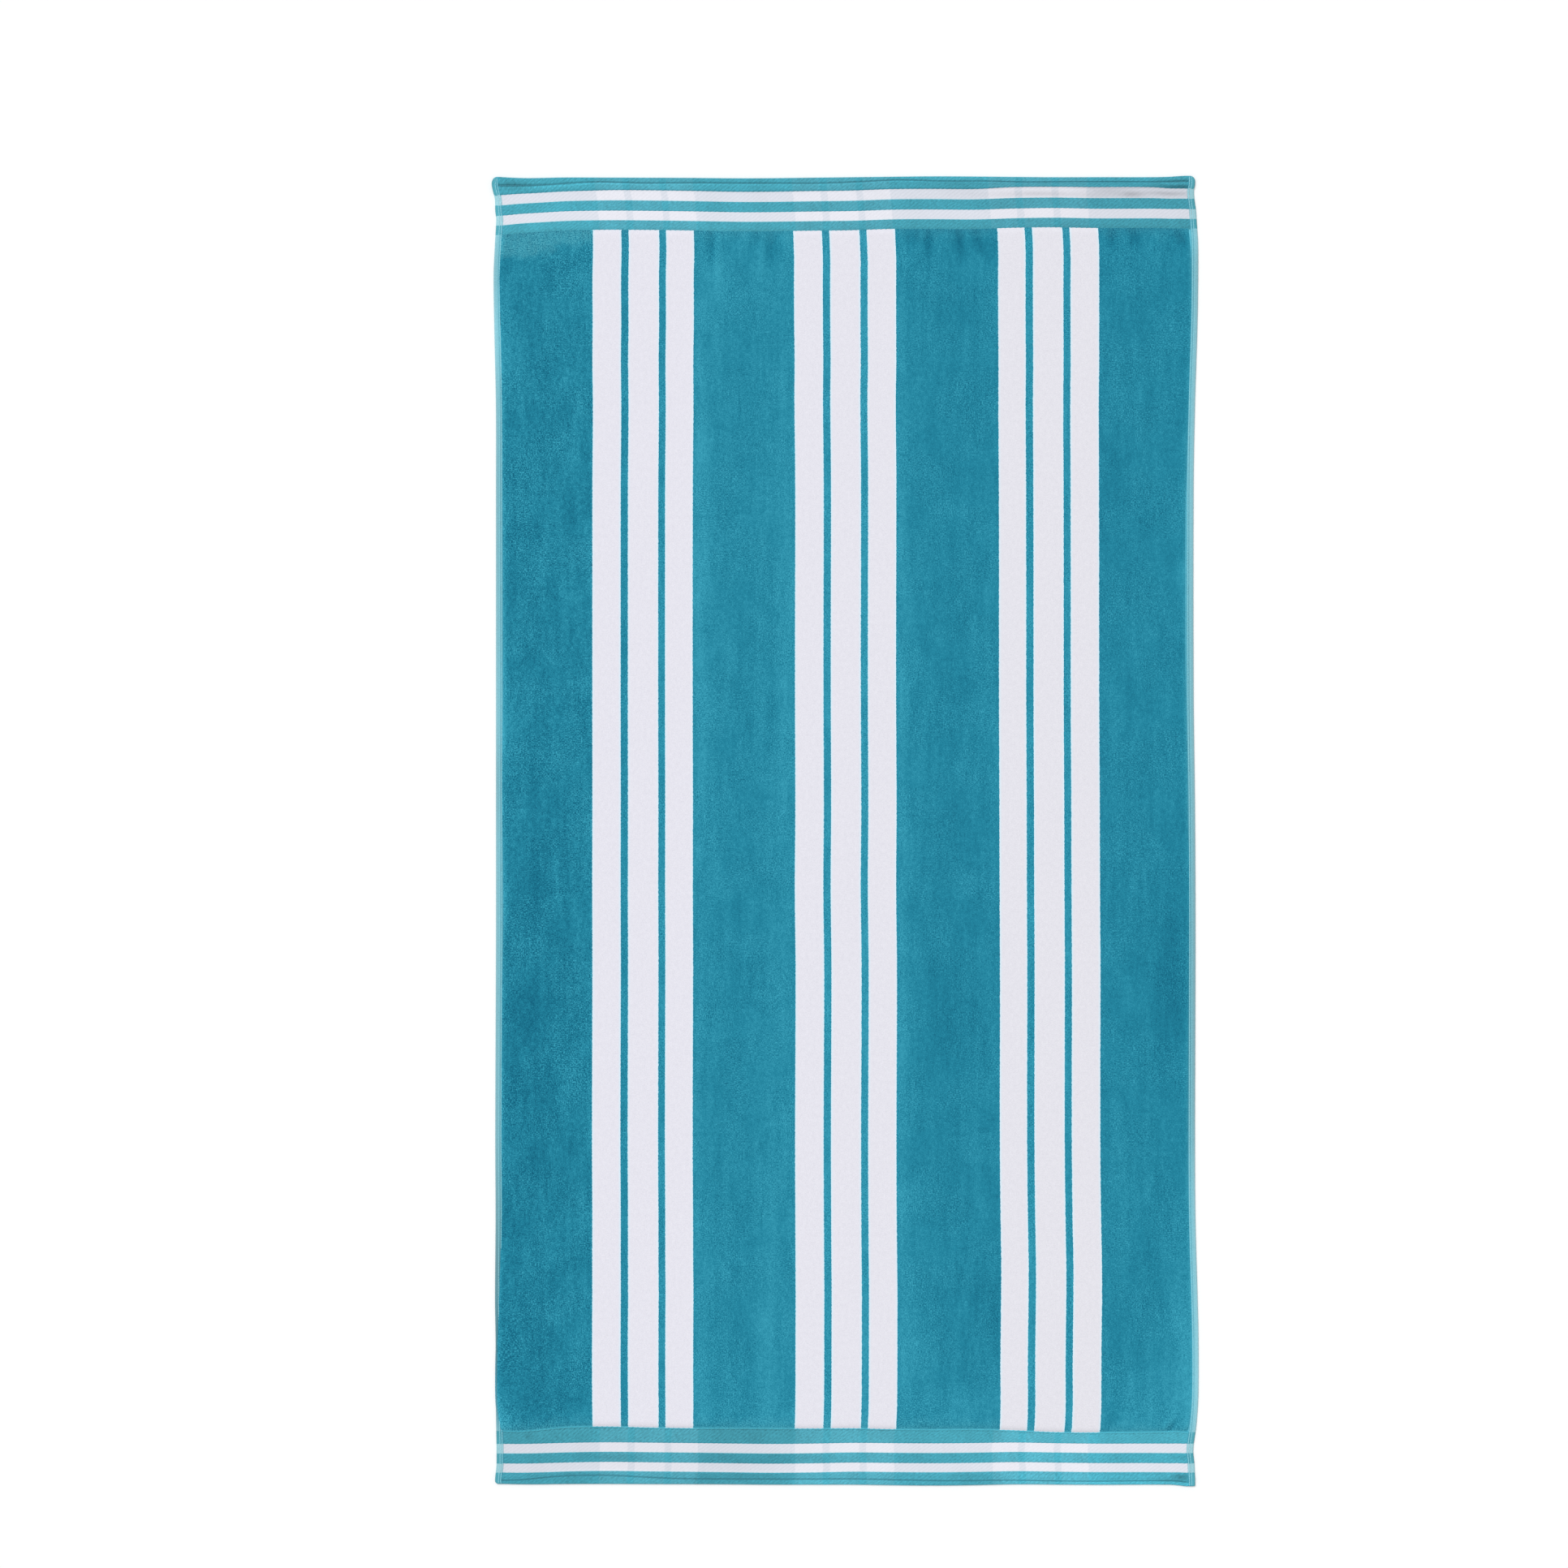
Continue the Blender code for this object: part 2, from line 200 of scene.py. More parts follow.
def lieDown(across, down, inField=False):
    corners = towel["corners"]
    right, lower = across > width / 2, down > length / 2
    inX = np.where(right, width - across, across)
    inY = np.where(lower, length - down, down)
    radius = np.where(
        lower,
        np.where(right, corners["bottomRight"], corners["bottomLeft"]),
        np.where(right, corners["topRight"], corners["topLeft"]),
    )
    # the cloth's square corner bends onto an arc
    a, b = radius - inX, radius - inY
    bend = np.maximum(a, b) / np.maximum(np.hypot(a, b), 1e-6)
    bent = (a > 0) & (b > 0)
    inX = np.where(bent, radius - a * bend, inX)
    inY = np.where(bent, radius - b * bend, inY)
    x = np.where(right, width / 2 - inX, inX - width / 2)
    y = np.where(lower, inY - length / 2, length / 2 - inY)

    ends, sides = towel["ends"], towel["sides"]
    border = np.where(lower, towel["bottomBorder"], towel["topBorder"])
    out = np.where(lower, -curveThrough(ends, 2, across), curveThrough(ends, 1, across))
    sag = np.where(lower, curveThrough(ends, 4, across), curveThrough(ends, 3, across))
    fade = 1 - smoothStep(0.0, border + towel["weftFade"], inY)
    sagShare = 1 - smoothStep(border, border + towel["weftFade"], inY)
    y = y + out * fade - sag * sagShare * smoothStep(0.0, towel["endHem"], inY)

    share, level = across / width, length / 2 - y
    x = x + curveThrough(sides, 2, level) * share - curveThrough(sides, 1, level) * (1 - share)
    if inField:
        x = x + strayOfWarps(across, level)
    return x, y


def alongWarps(across, down):
    # where on the cloth's length the wefts that cross there were woven
    inward = length - down
    setIn, full, fading, gone = stripes["bottomFade"]
    near = smoothStep(setIn, full, inward) * (1 - smoothStep(fading, gone, inward))
    sag = curveThrough(towel["ends"], 4, across) - curveThrough(stripes["bottomSag"], 1, across)
    setIn, full, fading, gone = stripes["topFade"]
    atTop = smoothStep(setIn, full, down) * (1 - smoothStep(fading, gone, down))
    sagAtTop = curveThrough(stripes["topSag"], 1, across) * atTop
    return down + np.where(inward < length / 2, sag * near, -sagAtTop)


def middleOfCloth():
    # the frame's origin is under the middle of the outline's box
    along = np.linspace(0.0, 1.0, 4000)
    none, full = 0.0 * along, 0.0 * along + 1.0
    x = [lieDown(side * width, along * length)[0] for side in (none, full)]
    y = [lieDown(along * width, end * length)[1] for end in (none, full)]
    return (np.min(x) + np.max(x)) / 2, (np.min(y) + np.max(y)) / 2


clothMiddle = middleOfCloth()


def readPoints(mesh):
    points = np.empty(len(mesh.vertices) * 3, np.float32)
    mesh.vertices.foreach_get("co", points)
    return points.reshape(-1, 3).astype(float)


def writePoints(mesh, x, y, z):
    # in millimetres, with the cloth's middle over the origin
    points = np.stack((x - clothMiddle[0], y - clothMiddle[1], z), 1) * mm
    mesh.vertices.foreach_set("co", points.astype(np.float32).ravel())
    mesh.update()


def addMap(mesh, name, u, v):
    # a UV map from one pair of values at each point
    corners = np.empty(len(mesh.loops), np.int32)
    mesh.loops.foreach_get("vertex_index", corners)
    layer = mesh.uv_layers.new(name=name)
    layer.data.foreach_set("uv", np.stack((u[corners], v[corners]), 1).astype(np.float32).ravel())


def addValue(mesh, name, values):
    layer = mesh.attributes.new(name, "FLOAT", "POINT")
    layer.data.foreach_set("value", np.asarray(values, np.float32))


def linesAlong(start, end, step, nearEdge):
    # places from start to end, even in the middle and at the given distances from both ends
    near = np.array(nearEdge)
    count = int(round((end - start - 2 * near[-1]) / step))
    middle = np.linspace(start + near[-1], end - near[-1], count + 1)
    return np.concatenate((start + near[:-1], middle, end - near[-2::-1]))


def slab(name, columns, rows):
    # a grid on the given lines, with a rim that goes down to a plain underside
    bm = bmesh.new()
    bmesh.ops.create_grid(bm, x_segments=len(columns) - 1, y_segments=len(rows) - 1, size=0.5)
    rim = [edge for edge in bm.edges if edge.is_boundary]
    wall = bmesh.ops.extrude_edge_only(bm, edges=rim)["geom"]
    foot = [item for item in wall if isinstance(item, bmesh.types.BMVert)]
    bmesh.ops.translate(bm, verts=foot, vec=(0.0, 0.0, -1.0))
    bmesh.ops.holes_fill(bm, edges=[edge for edge in bm.edges if edge.is_boundary], sides=0)
    bmesh.ops.recalc_face_normals(bm, faces=bm.faces)
    mesh = bpy.data.meshes.new(name)
    bm.to_mesh(mesh)
    bm.free()
    points = readPoints(mesh)
    across = columns[np.rint((points[:, 0] + 0.5) * (len(columns) - 1)).astype(int)]
    down = rows[np.rint((0.5 - points[:, 1]) * (len(rows) - 1)).astype(int)]
    return mesh, across, down, points[:, 2] < -0.5


def finishPiece(mesh, material, sharp=50):
    mesh.materials.append(material)
    mesh.shade_smooth()
    mesh.set_sharp_from_angle(angle=math.radians(sharp))
    piece = bpy.data.objects.new(mesh.name, mesh)
    bpy.context.scene.collection.objects.link(piece)
    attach(piece, "root")
    print("made", mesh.name, len(mesh.polygons), "faces")
    return piece


def colour(code):
    # an sRGB hex colour as the linear values that the shaders take
    parts = [int(code[n:n + 2], 16) / 255 for n in (1, 3, 5)]
    return [p / 12.92 if p <= 0.04045 else ((p + 0.055) / 1.055) ** 2.4 for p in parts] + [1.0]


def feed(socket, value):
    # another node's output is linked, and anything else becomes the socket's own value
    if isinstance(value, bpy.types.NodeSocket):
        socket.id_data.links.new(value, socket)
    else:
        socket.default_value = value


def addNode(tree, kind, *values, out=None, **settings):
    # values go to the inputs in use, in their order, and settings to options and inputs by name;
    # what comes back is the named output, or the first one in use
    node = tree.nodes.new("ShaderNode" + kind)
    for key, value in settings.items():
        if hasattr(node, key):
            setattr(node, key, value)
        else:
            feed(node.inputs[key.replace("_", " ")], value)
    inUse = [socket for socket in node.inputs if socket.enabled]
    for socket, value in zip(inUse, values):
        feed(socket, value)
    return node.outputs[out] if out else next(end for end in node.outputs if end.enabled)


def newMaterial(name, **settings):
    # with the function that adds nodes to it, and its shader
    material = bpy.data.materials.new(name)
    material.use_nodes = True
    shader = material.node_tree.nodes["Principled BSDF"]
    for key, value in settings.items():
        feed(shader.inputs[key.replace("_", " ")], value)
    return material, partial(addNode, material.node_tree), shader


def stripeMask(add, place, pairs):
    # 1 within the given pairs of edges and 0 between them; a ramp's 256 steps would be too coarse
    mask = 0.0
    for start, end in pairs:
        middle, half = 0.5 * (start + end) * mm, 0.5 * (end - start) * mm
        within = add("Math", place, middle, half, operation="COMPARE")
        mask = add("Math", within, mask, operation="ADD")
    return mask


# The pile's lie. Each patch is a soft oval, and its tone is in levels out of 255 of the teal's
# lightness, as light catches the pile where it has been brushed one way or the other.
velour = {
    "columns": ((15, 118, 5.0), (118, 244, 5.2), (244, 370, 2.3), (370, 497, 5.2), (497, 622, 2.3),
                (622, 748, 5.2), (748, 854, 2.3)),  # across from, to, and the step between lines
    "rowStep": 4.2,
    "nearLeft": (0.0, 0.35, 0.9, 1.6, 3.0),  # the lines that close in on its left edge
    "nearOthers": (0.0, 0.35, 0.9, 1.6, 2.6),
    "edgeLean": 3.6,  # the cut edge of the pile slopes down over this far
    "base": 1.15,  # underside of the pile, inside the ground weave
    "unevenness": 0.16,
    "humps": ((34, 60, 3, 1.0), (11, 16, 4, 0.6)),  # how wide and how long, a seed, a share
    "spread": 25.0,  # over which the pile's sides are drawn over or off the hems
    "bandTones": ((60, -4.6), (307, 5.5), (560, 0.2), (802, -1.8)),  # across, tone
    # across, down, half its width, half its length, tone
    "patches": (
        (17, 215, 13, 60, 10), (88, 175, 14, 45, 5), (17, 673, 13, 55, 14),
        (100, 425, 12, 45, -6), (58, 580, 18, 50, -7), (104, 715, 12, 45, -6), (56, 841, 20, 60, -6),
        (64, 810, 20, 45, -5), (47, 1044, 46, 100, -6), (30, 1044, 16, 95, -4), (72, 1000, 12, 40, -4),
        (55, 1200, 34, 90, -5), (17, 1292, 13, 42, -10), (62, 1305, 20, 22, 6), (28, 1425, 26, 100, -5),
        (56, 1458, 20, 75, -4), (102, 1541, 12, 14, 9), (26, 1545, 22, 16, 9),
        (250, 445, 10, 330, 9), (258, 620, 10, 400, 3.5), (282, 135, 26, 28, 6), (304, 200, 16, 34, -5),
        (250, 1228, 10, 200, 3), (290, 1060, 22, 220, -3.5), (258, 1185, 12, 45, -5),
        (251, 1489, 12, 70, 9), (307, 800, 32, 820, -5), (294, 1430, 16, 70, -4),
        (362, 529, 10, 260, 5.5), (356, 745, 9, 60, 4), (335, 1450, 12, 100, 6), (340, 1540, 30, 36, 6),
        (502, 800, 9, 820, 9), (511, 1420, 18, 90, 6), (516, 1490, 24, 70, 5), (511, 1060, 10, 60, 4),
        (560, 800, 30, 820, -3.5), (550, 950, 12, 30, -4), (560, 1042, 34, 62, -8),
        (578, 1530, 40, 34, 10), (600, 1375, 22, 45, -7), (592, 900, 14, 60, -3), (570, 140, 30, 30, -3),
        (616, 94, 8, 22, -6), (616, 600, 8, 380, 2.5), (616, 1409, 10, 45, -5), (616, 1520, 10, 40, 6),
        (766, 400, 16, 90, -5), (848, 577, 10, 160, 1.0), (827, 987, 24, 110, -8),
        (842, 980, 16, 110, -7), (822, 1011, 12, 40, -2), (816, 88, 16, 20, -7), (796, 1298, 12, 26, -5),
        (771, 1276, 16, 80, 6), (766, 1220, 12, 40, 4), (845, 1400, 16, 130, 9),
        (832, 1475, 26, 75, 6), (850, 1440, 8, 60, 6), (851, 1525, 10, 24, 9),
        (802, 1520, 62, 45, 11), (768, 1500, 10, 20, -6), (768, 1543, 18, 12, 10),
        (10, 1515, 8, 30, 9), (12, 1540, 10, 14, 8), (850, 72, 8, 12, 10),
        (60, 960, 45, 90, -4), (60, 1250, 45, 80, -3.5), (60, 1519, 40, 30, -4),
        # the lines between the white stripes
        (159, 800, 12, 4000, 3), (205, 800, 12, 4000, 5), (410, 800, 12, 4000, 8),
        (456, 800, 12, 4000, 12), (660, 800, 12, 4000, 12), (707, 800, 12, 4000, 11),
    ),
    # where the borders gather the pile: across, down, half its width, half its length, how far
    # it turns to the left going down, and its height
    "puckers": (
        (60, 86, 42, 14, 0.0, 0.9), (265, 80, 5.5, 22, 0.0, -0.9), (274, 98, 4, 34, 0.0, 0.5),
        (299, 82, 9, 22, 0.1, 0.4), (296, 72, 6, 8, 0.0, -0.6), (325, 73, 6, 9, 0.0, -0.6),
        (329, 100, 4, 30, 0.0, 0.5), (342, 84, 7, 22, 0.0, -0.9), (360, 84, 6, 26, 0.0, 0.5),
        (513, 74, 6, 12, 0.0, -0.7), (523, 74, 4, 10, 0.0, -0.6), (536, 78, 6, 16, 0.0, -0.8),
        (556, 88, 7, 26, 0.0, 0.5), (576, 82, 7, 20, -0.1, -0.9), (602, 84, 6, 18, -0.3, -0.9),
        (640, 90, 14, 26, 0.0, 0.5), (763, 74, 5, 11, 0.0, -0.9), (789, 76, 6, 14, -0.1, -1.0),
        (815, 86, 9, 20, 0.1, 0.5), (846, 76, 9, 11, -0.2, -1.1), (20, 1520, 10, 40, 0.1, 0.4),
        (760, 1538, 8, 12, 0.2, -0.6), (832.5, 1545.5, 3.2, 10, 0.55, -1.3),
        (855, 1547.5, 2.8, 9, 0.5, -1.2), (825, 1543, 3.5, 9, 0.55, 0.5), (848, 1547, 3.5, 8, 0.5, 0.5),
    ),
    "puckerLightAndShade": 20.0,  # painted shade: levels darker for each millimetre of a trough, and painted light on a ridge up to 0.3 mm high
    # painted light and shade along the pile's edges, lit at the bottom and the sides and shaded at the
    # top: levels, and between which distances in from there they die away
    "edgeLightAndShade": {"top": (-9.0, 0.0, 9.0), "bottom": (32.0, 1.0, 2.3), "sides": (20.0, 0.5, 6.0)},
    # the rubbed pile under the top border's left end: across, and how far down it reaches
    "rubbed": ((0, 93), (20, 95), (42, 97), (64, 93), (82, 85), (100, 83), (119, 80), (126, 50)),
    "rubbedFade": (-9.0, 5.0),  # mm about that line over which the rubbing dies away
    "rubbedEdge": (0.4, 18.0),  # how rubbed the pile is beside both borders, and how far in
    "raggedness": (5.0, 7, 6, 61),  # mm those lines wander; how wide and how long, and a seed
    "rubbedColour": "#69bfc9",
    "flecks": (1.5, 0.22),  # how crisp its flecks are, and how much of it they take up
    # the teal's yarn: some levels under its middle, there, and as many levels over it
    "reach": 36.0,
    "deep": "#005b77", "middle": "#1c829c", "pale": "#3fa8c0",
    "whiteDeep": "#dbdae4", "whitePale": "#e9e8f1",
    "whiteRight": "#fdfdfb",  # what tints the white pile at the towel's right side
    "whiteTurns": (300.0, 750.0),  # across, where that sets in and where it is full
    "dash": (1.95, 1.0),  # mm, the size of a mark of the sheared rows
    # how many marks of each kind go to a metre, across and down
    "mottleScale": (230.0, 170.0, 1.0), "streakScale": (75.0, 13.0, 1.0), "swirlScale": 28.0,
    "strayScale": (200.0, 380.0, 1.0), "turnScale": 45.0, "crispScale": 16.0,
    "turnShare": (0.15, 0.85),  # of the dashes that run down where most run across, and the reverse
    "crispness": (0.65, 1.35),  # times the grain, where it is soft and where it is crisp
    "roughness": 0.95,
    "sheen": 0.12,
    # how many levels of lightness each kind of mark takes the teal through
    "grain": 102.0, "mottle": 24.0, "streaks": 24.0, "swirls": 19.0,
    "leftBand": 1.45,  # times as strong in the left teal band, whose pile was brushed about most
    "leftEnd": (120.0, 130.0),  # across, where that dies away under the white
    "stray": 1.2,  # mm that single tufts stray over a stripe's edge
    # mm of each white edge that teal lint tints, and how much
    "lint": ((2.6, 0.25), (1.2, 0.7)), "lintColour": "#d0edf9",
}


def softOval(across, down, row):
    return np.exp(-(((across - row[0]) / row[2]) ** 2) - ((down - row[1]) / row[3]) ** 2)


def puckerHeight(across, down):
    total = 0.0
    for row in velour["puckers"]:
        aside = across - row[0] + (down - row[1]) * row[4]
        far = (aside / row[2]) ** 2 + ((down - row[1]) / row[3]) ** 2
        total = total + row[5] * np.clip(1 - far / 4, 0.0, 1.0) ** 3
    return total


def pileTop(across, down):
    inX = np.minimum(across - edges["left"], edges["right"] - across)
    inY = np.minimum(down - edges["top"], edges["bottom"] - down)
    full = smoothStep(0.0, velour["edgeLean"], inX) * smoothStep(0.0, velour["edgeLean"], inY)
    uneven = 0.0
    for wide, tall, seed, share in velour["humps"]:
        uneven = uneven + share * softNoise(across, down, wide, tall, seed)
    height = towel["pile"] - towel["weave"] + velour["unevenness"] * uneven
    return towel["weave"] + full * (height + puckerHeight(across, down))


def spreadOverHems(across, down):
    # the pile's outermost tufts lie over more or less of the side hems
    left = curveThrough(towel["hemShown"], 1, down) - velour["edgeLean"] / 2 - edges["left"]
    right = curveThrough(towel["hemShown"], 2, down) - velour["edgeLean"] / 2 - edges["left"]
    nearLeft = 1 - smoothStep(0.0, velour["spread"], across - edges["left"])
    nearRight = 1 - smoothStep(0.0, velour["spread"], edges["right"] - across)
    return across + left * nearLeft - right * nearRight


def pileTone(across, down):
    tone = curveThrough(velour["bandTones"], 1, across)
    for row in velour["patches"]:
        tone = tone + row[4] * softOval(across, down, row)
    inFrom = {
        "top": down - edges["top"],
        "bottom": edges["bottom"] - down,
        "sides": np.minimum(across - edges["left"], edges["right"] - across),
    }
    # painted light along the pile's bottom and side edges, and painted shade along its top edge
    for side, (levels, start, end) in velour["edgeLightAndShade"].items():
        tone = tone + levels * (1 - smoothStep(start, end, inFrom[side]))
    # painted shade in the puckers' troughs and painted light on their low ridges
    return tone + velour["puckerLightAndShade"] * np.minimum(puckerHeight(across, down), 0.3)


def pileWear(across, down):
    # 1 where the pile is rubbed, so that its ends catch the light in flecks
    wander, *size = velour["raggedness"]
    ragged = wander * softNoise(across, down, *size)
    start, end = velour["rubbedFade"]
    reach = curveThrough(velour["rubbed"], 1, across) + ragged
    fromBorder = np.minimum(down - edges["top"], edges["bottom"] - down) + ragged
    share, wide = velour["rubbedEdge"]
    inCorner = 1 - smoothStep(reach + start, reach + end, down)
    return np.maximum(inCorner, share * (1 - smoothStep(0.0, wide, fromBorder)))


def makeVelourField(material):
    near = velour["nearOthers"]
    inner = [np.arange(a, b - 0.5 * step, step) for a, b, step in velour["columns"]]
    atLeft = edges["left"] + np.array(velour["nearLeft"])
    columns = np.concatenate([atLeft, *inner, edges["right"] - np.array(near[::-1])])
    rows = linesAlong(edges["top"], edges["bottom"], velour["rowStep"], near)
    mesh, across, down, foot = slab("velour_field", columns, rows)
    x, y = lieDown(spreadOverHems(across, down), down, inField=True)
    z = np.where(foot, velour["base"], pileTop(across, down))
    writePoints(mesh, x, y, z)
    addMap(mesh, "clothMap", across * mm, down * mm)
    addValue(mesh, "tone", pileTone(across, down))
    addValue(mesh, "worn", pileWear(across, down))
    return finishPiece(mesh, material)


def cottonVelour():
    # cotton velour, woven as loops and sheared: a soft matt face whose cut ends show as a fine
    # grain, light where the pile is brushed towards the light and deep where it leans away
    look = velour
    material, add, shader = newMaterial(
        "cotton velour cut pile", Roughness=look["roughness"], Specular_IOR_Level=0.15,
        Sheen_Weight=look["sheen"], Sheen_Roughness=0.5,
    )
    place = add("UVMap", uv_map="clothMap")
    apart = add("SeparateXYZ", place).node.outputs
    tone = add("Attribute", out="Fac", attribute_name="tone")

    # the marks of the shearing: short dashes across and down, by turns
    long, wide = look["dash"]
    dashes = []
    for n, (stepU, stepV) in enumerate(((long, wide), (wide, long))):
        turned = add(
            "Mapping", place, Scale=(1 / (stepU * mm), 1 / (stepV * mm), 1.0),
            Location=(31.0 * n, 17.0 * n, 0.0),
        )
        dashes.append(
            add("TexNoise", turned, noise_dimensions="2D", Scale=1.0, Detail=2.0, Roughness=0.45)
        )
    which = add("TexNoise", place, noise_dimensions="2D", Scale=look["turnScale"], Detail=1.0)
    chosen = add("MapRange", which, 0.4, 0.6, *look["turnShare"])
    grain = add("Mix", chosen, dashes[0], dashes[1])

    # broader marks: clumps of tufts, streaks along the warp and swirls where it was handled
    mottleMap = add("Mapping", place, Scale=look["mottleScale"])
    mottle = add("TexNoise", mottleMap, noise_dimensions="2D", Scale=1.0, Detail=2.0, Roughness=0.55)
    streakMap = add("Mapping", place, Scale=look["streakScale"])
    streaks = add("TexNoise", streakMap, noise_dimensions="2D", Scale=1.0, Detail=4.0, Roughness=0.6)
    swirls = add(
        "TexNoise", place, noise_dimensions="2D", Scale=look["swirlScale"], Detail=5.0,
        Roughness=0.62, Distortion=0.8,
    )

    # all as levels of lightness, with a grain that is crisp in some places and soft in others,
    # then as a place between the deep and the pale yarn
    regions = add("TexNoise", place, noise_dimensions="2D", Scale=look["crispScale"], Detail=1.0)
    softest, crispest = look["crispness"]
    crisp = add("MapRange", regions, 0.35, 0.65, softest * look["grain"], crispest * look["grain"])
    fromMiddle = add("Math", grain, 0.5, operation="SUBTRACT")
    levels = add("Math", fromMiddle, crisp, operation="MULTIPLY")
    for marks, kind in ((mottle, "mottle"), (streaks, "streaks"), (swirls, "swirls")):
        levels = add("Math", marks, look[kind], levels, operation="MULTIPLY_ADD")
    middle = 0.5 * (look["mottle"] + look["streaks"] + look["swirls"])
    levels = add("Math", levels, middle, operation="SUBTRACT")
    start, end = look["leftEnd"]
    brushed = add("MapRange", apart[0], start * mm, end * mm, look["leftBand"], 1.0)
    levels = add("Math", levels, brushed, tone, operation="MULTIPLY_ADD")
    share = add("MapRange", levels, -look["reach"], look["reach"], 0.0, 1.0)
    teal = add("ValToRGB", share)
    yarns = teal.node.color_ramp.elements
    yarns[0].color, yarns[1].color = colour(look["deep"]), colour(look["pale"])
    yarns.new(0.5).color = colour(look["middle"])
    tufted = add("Math", mottle, 0.4, grain, operation="MULTIPLY_ADD")
    whiteLevels = add("MapRange", tufted, 0.4, 1.0, 0.0, 1.0)
    white = add(
        "Mix", whiteLevels, colour(look["whiteDeep"]), colour(look["whitePale"]), data_type="RGBA",
    )

    # the white turns warmer towards the towel's right side
    start, end = look["whiteTurns"]
    atRight = add("MapRange", apart[0], start * mm, end * mm, 0.0, 1.0)
    tint = add("Mix", atRight, (1.0, 1.0, 1.0, 1.0), colour(look["whiteRight"]), data_type="RGBA")
    white = add("Mix", 1.0, white, tint, data_type="RGBA", blend_type="MULTIPLY")

    # the pile's ends stray over the stripes' edges
    strayMap = add("Mapping", place, Scale=look["strayScale"])
    stray = add("TexNoise", strayMap, noise_dimensions="2D", Scale=1.0, Detail=2.0, Roughness=0.55)
    half = 0.5 * look["stray"] * mm
    strayed = add("MapRange", stray, 0.0, 1.0, -half, half)
    across = add("Math", strayed, apart[0], operation="ADD")
    isWhite = stripeMask(add, across, stripes["whiteWarps"])

    # light flecks where the pile is rubbed, and teal lint along the white's edges
    worn = add("Attribute", out="Fac", attribute_name="worn")
    crispness, share = look["flecks"]
    flecks = add("Math", fromMiddle, crispness, share, operation="MULTIPLY_ADD", use_clamp=True)
    flecks = add("Math", flecks, worn, operation="MULTIPLY")
    teal = add("Mix", flecks, teal, colour(look["rubbedColour"]), data_type="RGBA")
    for reach, amount in look["lint"]:
        inner = [(start + reach, end - reach) for start, end in stripes["whiteWarps"]]
        linty = add("Mix", amount, white, colour(look["lintColour"]), data_type="RGBA")
        white = add("Mix", stripeMask(add, across, inner), linty, white, data_type="RGBA")
    face = add("Mix", isWhite, teal, white, data_type="RGBA")
    feed(shader.inputs["Base Color"], face)
    feed(shader.inputs["Normal"], add("Bump", Height=grain, Strength=0.35, Distance=0.0005))
    return material


# The underside is left as loops.
terry = {
    "columns": 4.2,  # steps between the grid's lines
    "rows": 4.2,
    "top": 1.25,  # inside the pile's own base
    "loopRelief": 0.45,
    "edgeHeight": 0.5,  # its rim's height over the floor
    "edgeRound": 0.8,
    "stray": 3.0,  # mm that the loops stray over a stripe's edge
    "deep": "#2a8199", "pale": "#4aa3b8",
    "whiteDeep": "#d3d1da", "whitePale": "#f0eef6",
    "loop": 3.2,  # mm from loop to loop, twice the real one, so that it shows
}


def makeTerryBack(material):
    columns = linesAlong(edges["left"], edges["right"], terry["columns"], (0.0, 0.5, 1.4))
    rows = linesAlong(edges["top"], edges["bottom"], terry["rows"], (0.0, 0.5, 1.4))
    mesh, across, down, foot = slab("terry_back", columns, rows)
    x, y = lieDown(across, down, inField=True)
    inX = np.minimum(across - edges["left"], edges["right"] - across)
    inY = np.minimum(down - edges["top"], edges["bottom"] - down)
    full = roundOver(inX, terry["edgeRound"]) * roundOver(inY, terry["edgeRound"])
    loops = np.random.default_rng(11).uniform(0.0, terry["loopRelief"], len(x))
    z = np.where(foot, terry["top"], terry["edgeHeight"] * (1 - full) + full * loops)
    writePoints(mesh, x, y, z)
    mesh.flip_normals()  # the grid is the side that faces the floor
    addMap(mesh, "clothMap", across * mm, down * mm)
    return finishPiece(mesh, material)


def cottonTerry():
    # cotton terry, woven and washed: round loops that cast small shadows on one another, painted into the
    # colour as deep gaps between pale loops
    look = terry
    material, add, shader = newMaterial(
        "cotton terry loops", Roughness=0.95, Specular_IOR_Level=0.15, Sheen_Weight=0.1,
    )
    place = add("UVMap", uv_map="clothMap")
    loops = add(
        "TexVoronoi", place, voronoi_dimensions="2D", Scale=1 / (look["loop"] * mm), Randomness=0.8,
    )
    # painted light on the loops and painted shade in the gaps between them
    blend = add("MapRange", loops, 0.1, 0.65, 1.0, 0.0)
    teal = add("Mix", blend, colour(look["deep"]), colour(look["pale"]), data_type="RGBA")
    white = add("Mix", blend, colour(look["whiteDeep"]), colour(look["whitePale"]), data_type="RGBA")
    apart = add("SeparateXYZ", place).node.outputs
    stray = add("TexNoise", place, noise_dimensions="2D", Scale=260.0, Detail=2.0)
    half = 0.5 * look["stray"] * mm
    strayed = add("MapRange", stray, 0.0, 1.0, -half, half)
    across = add("Math", strayed, apart[0], operation="ADD")
    isWhite = stripeMask(add, across, stripes["whiteWarps"])
    face = add("Mix", isWhite, teal, white, data_type="RGBA")
    feed(shader.inputs["Base Color"], face)
    feed(shader.inputs["Normal"], add("Bump", Height=blend, Strength=0.8, Distance=0.0012))
    return material


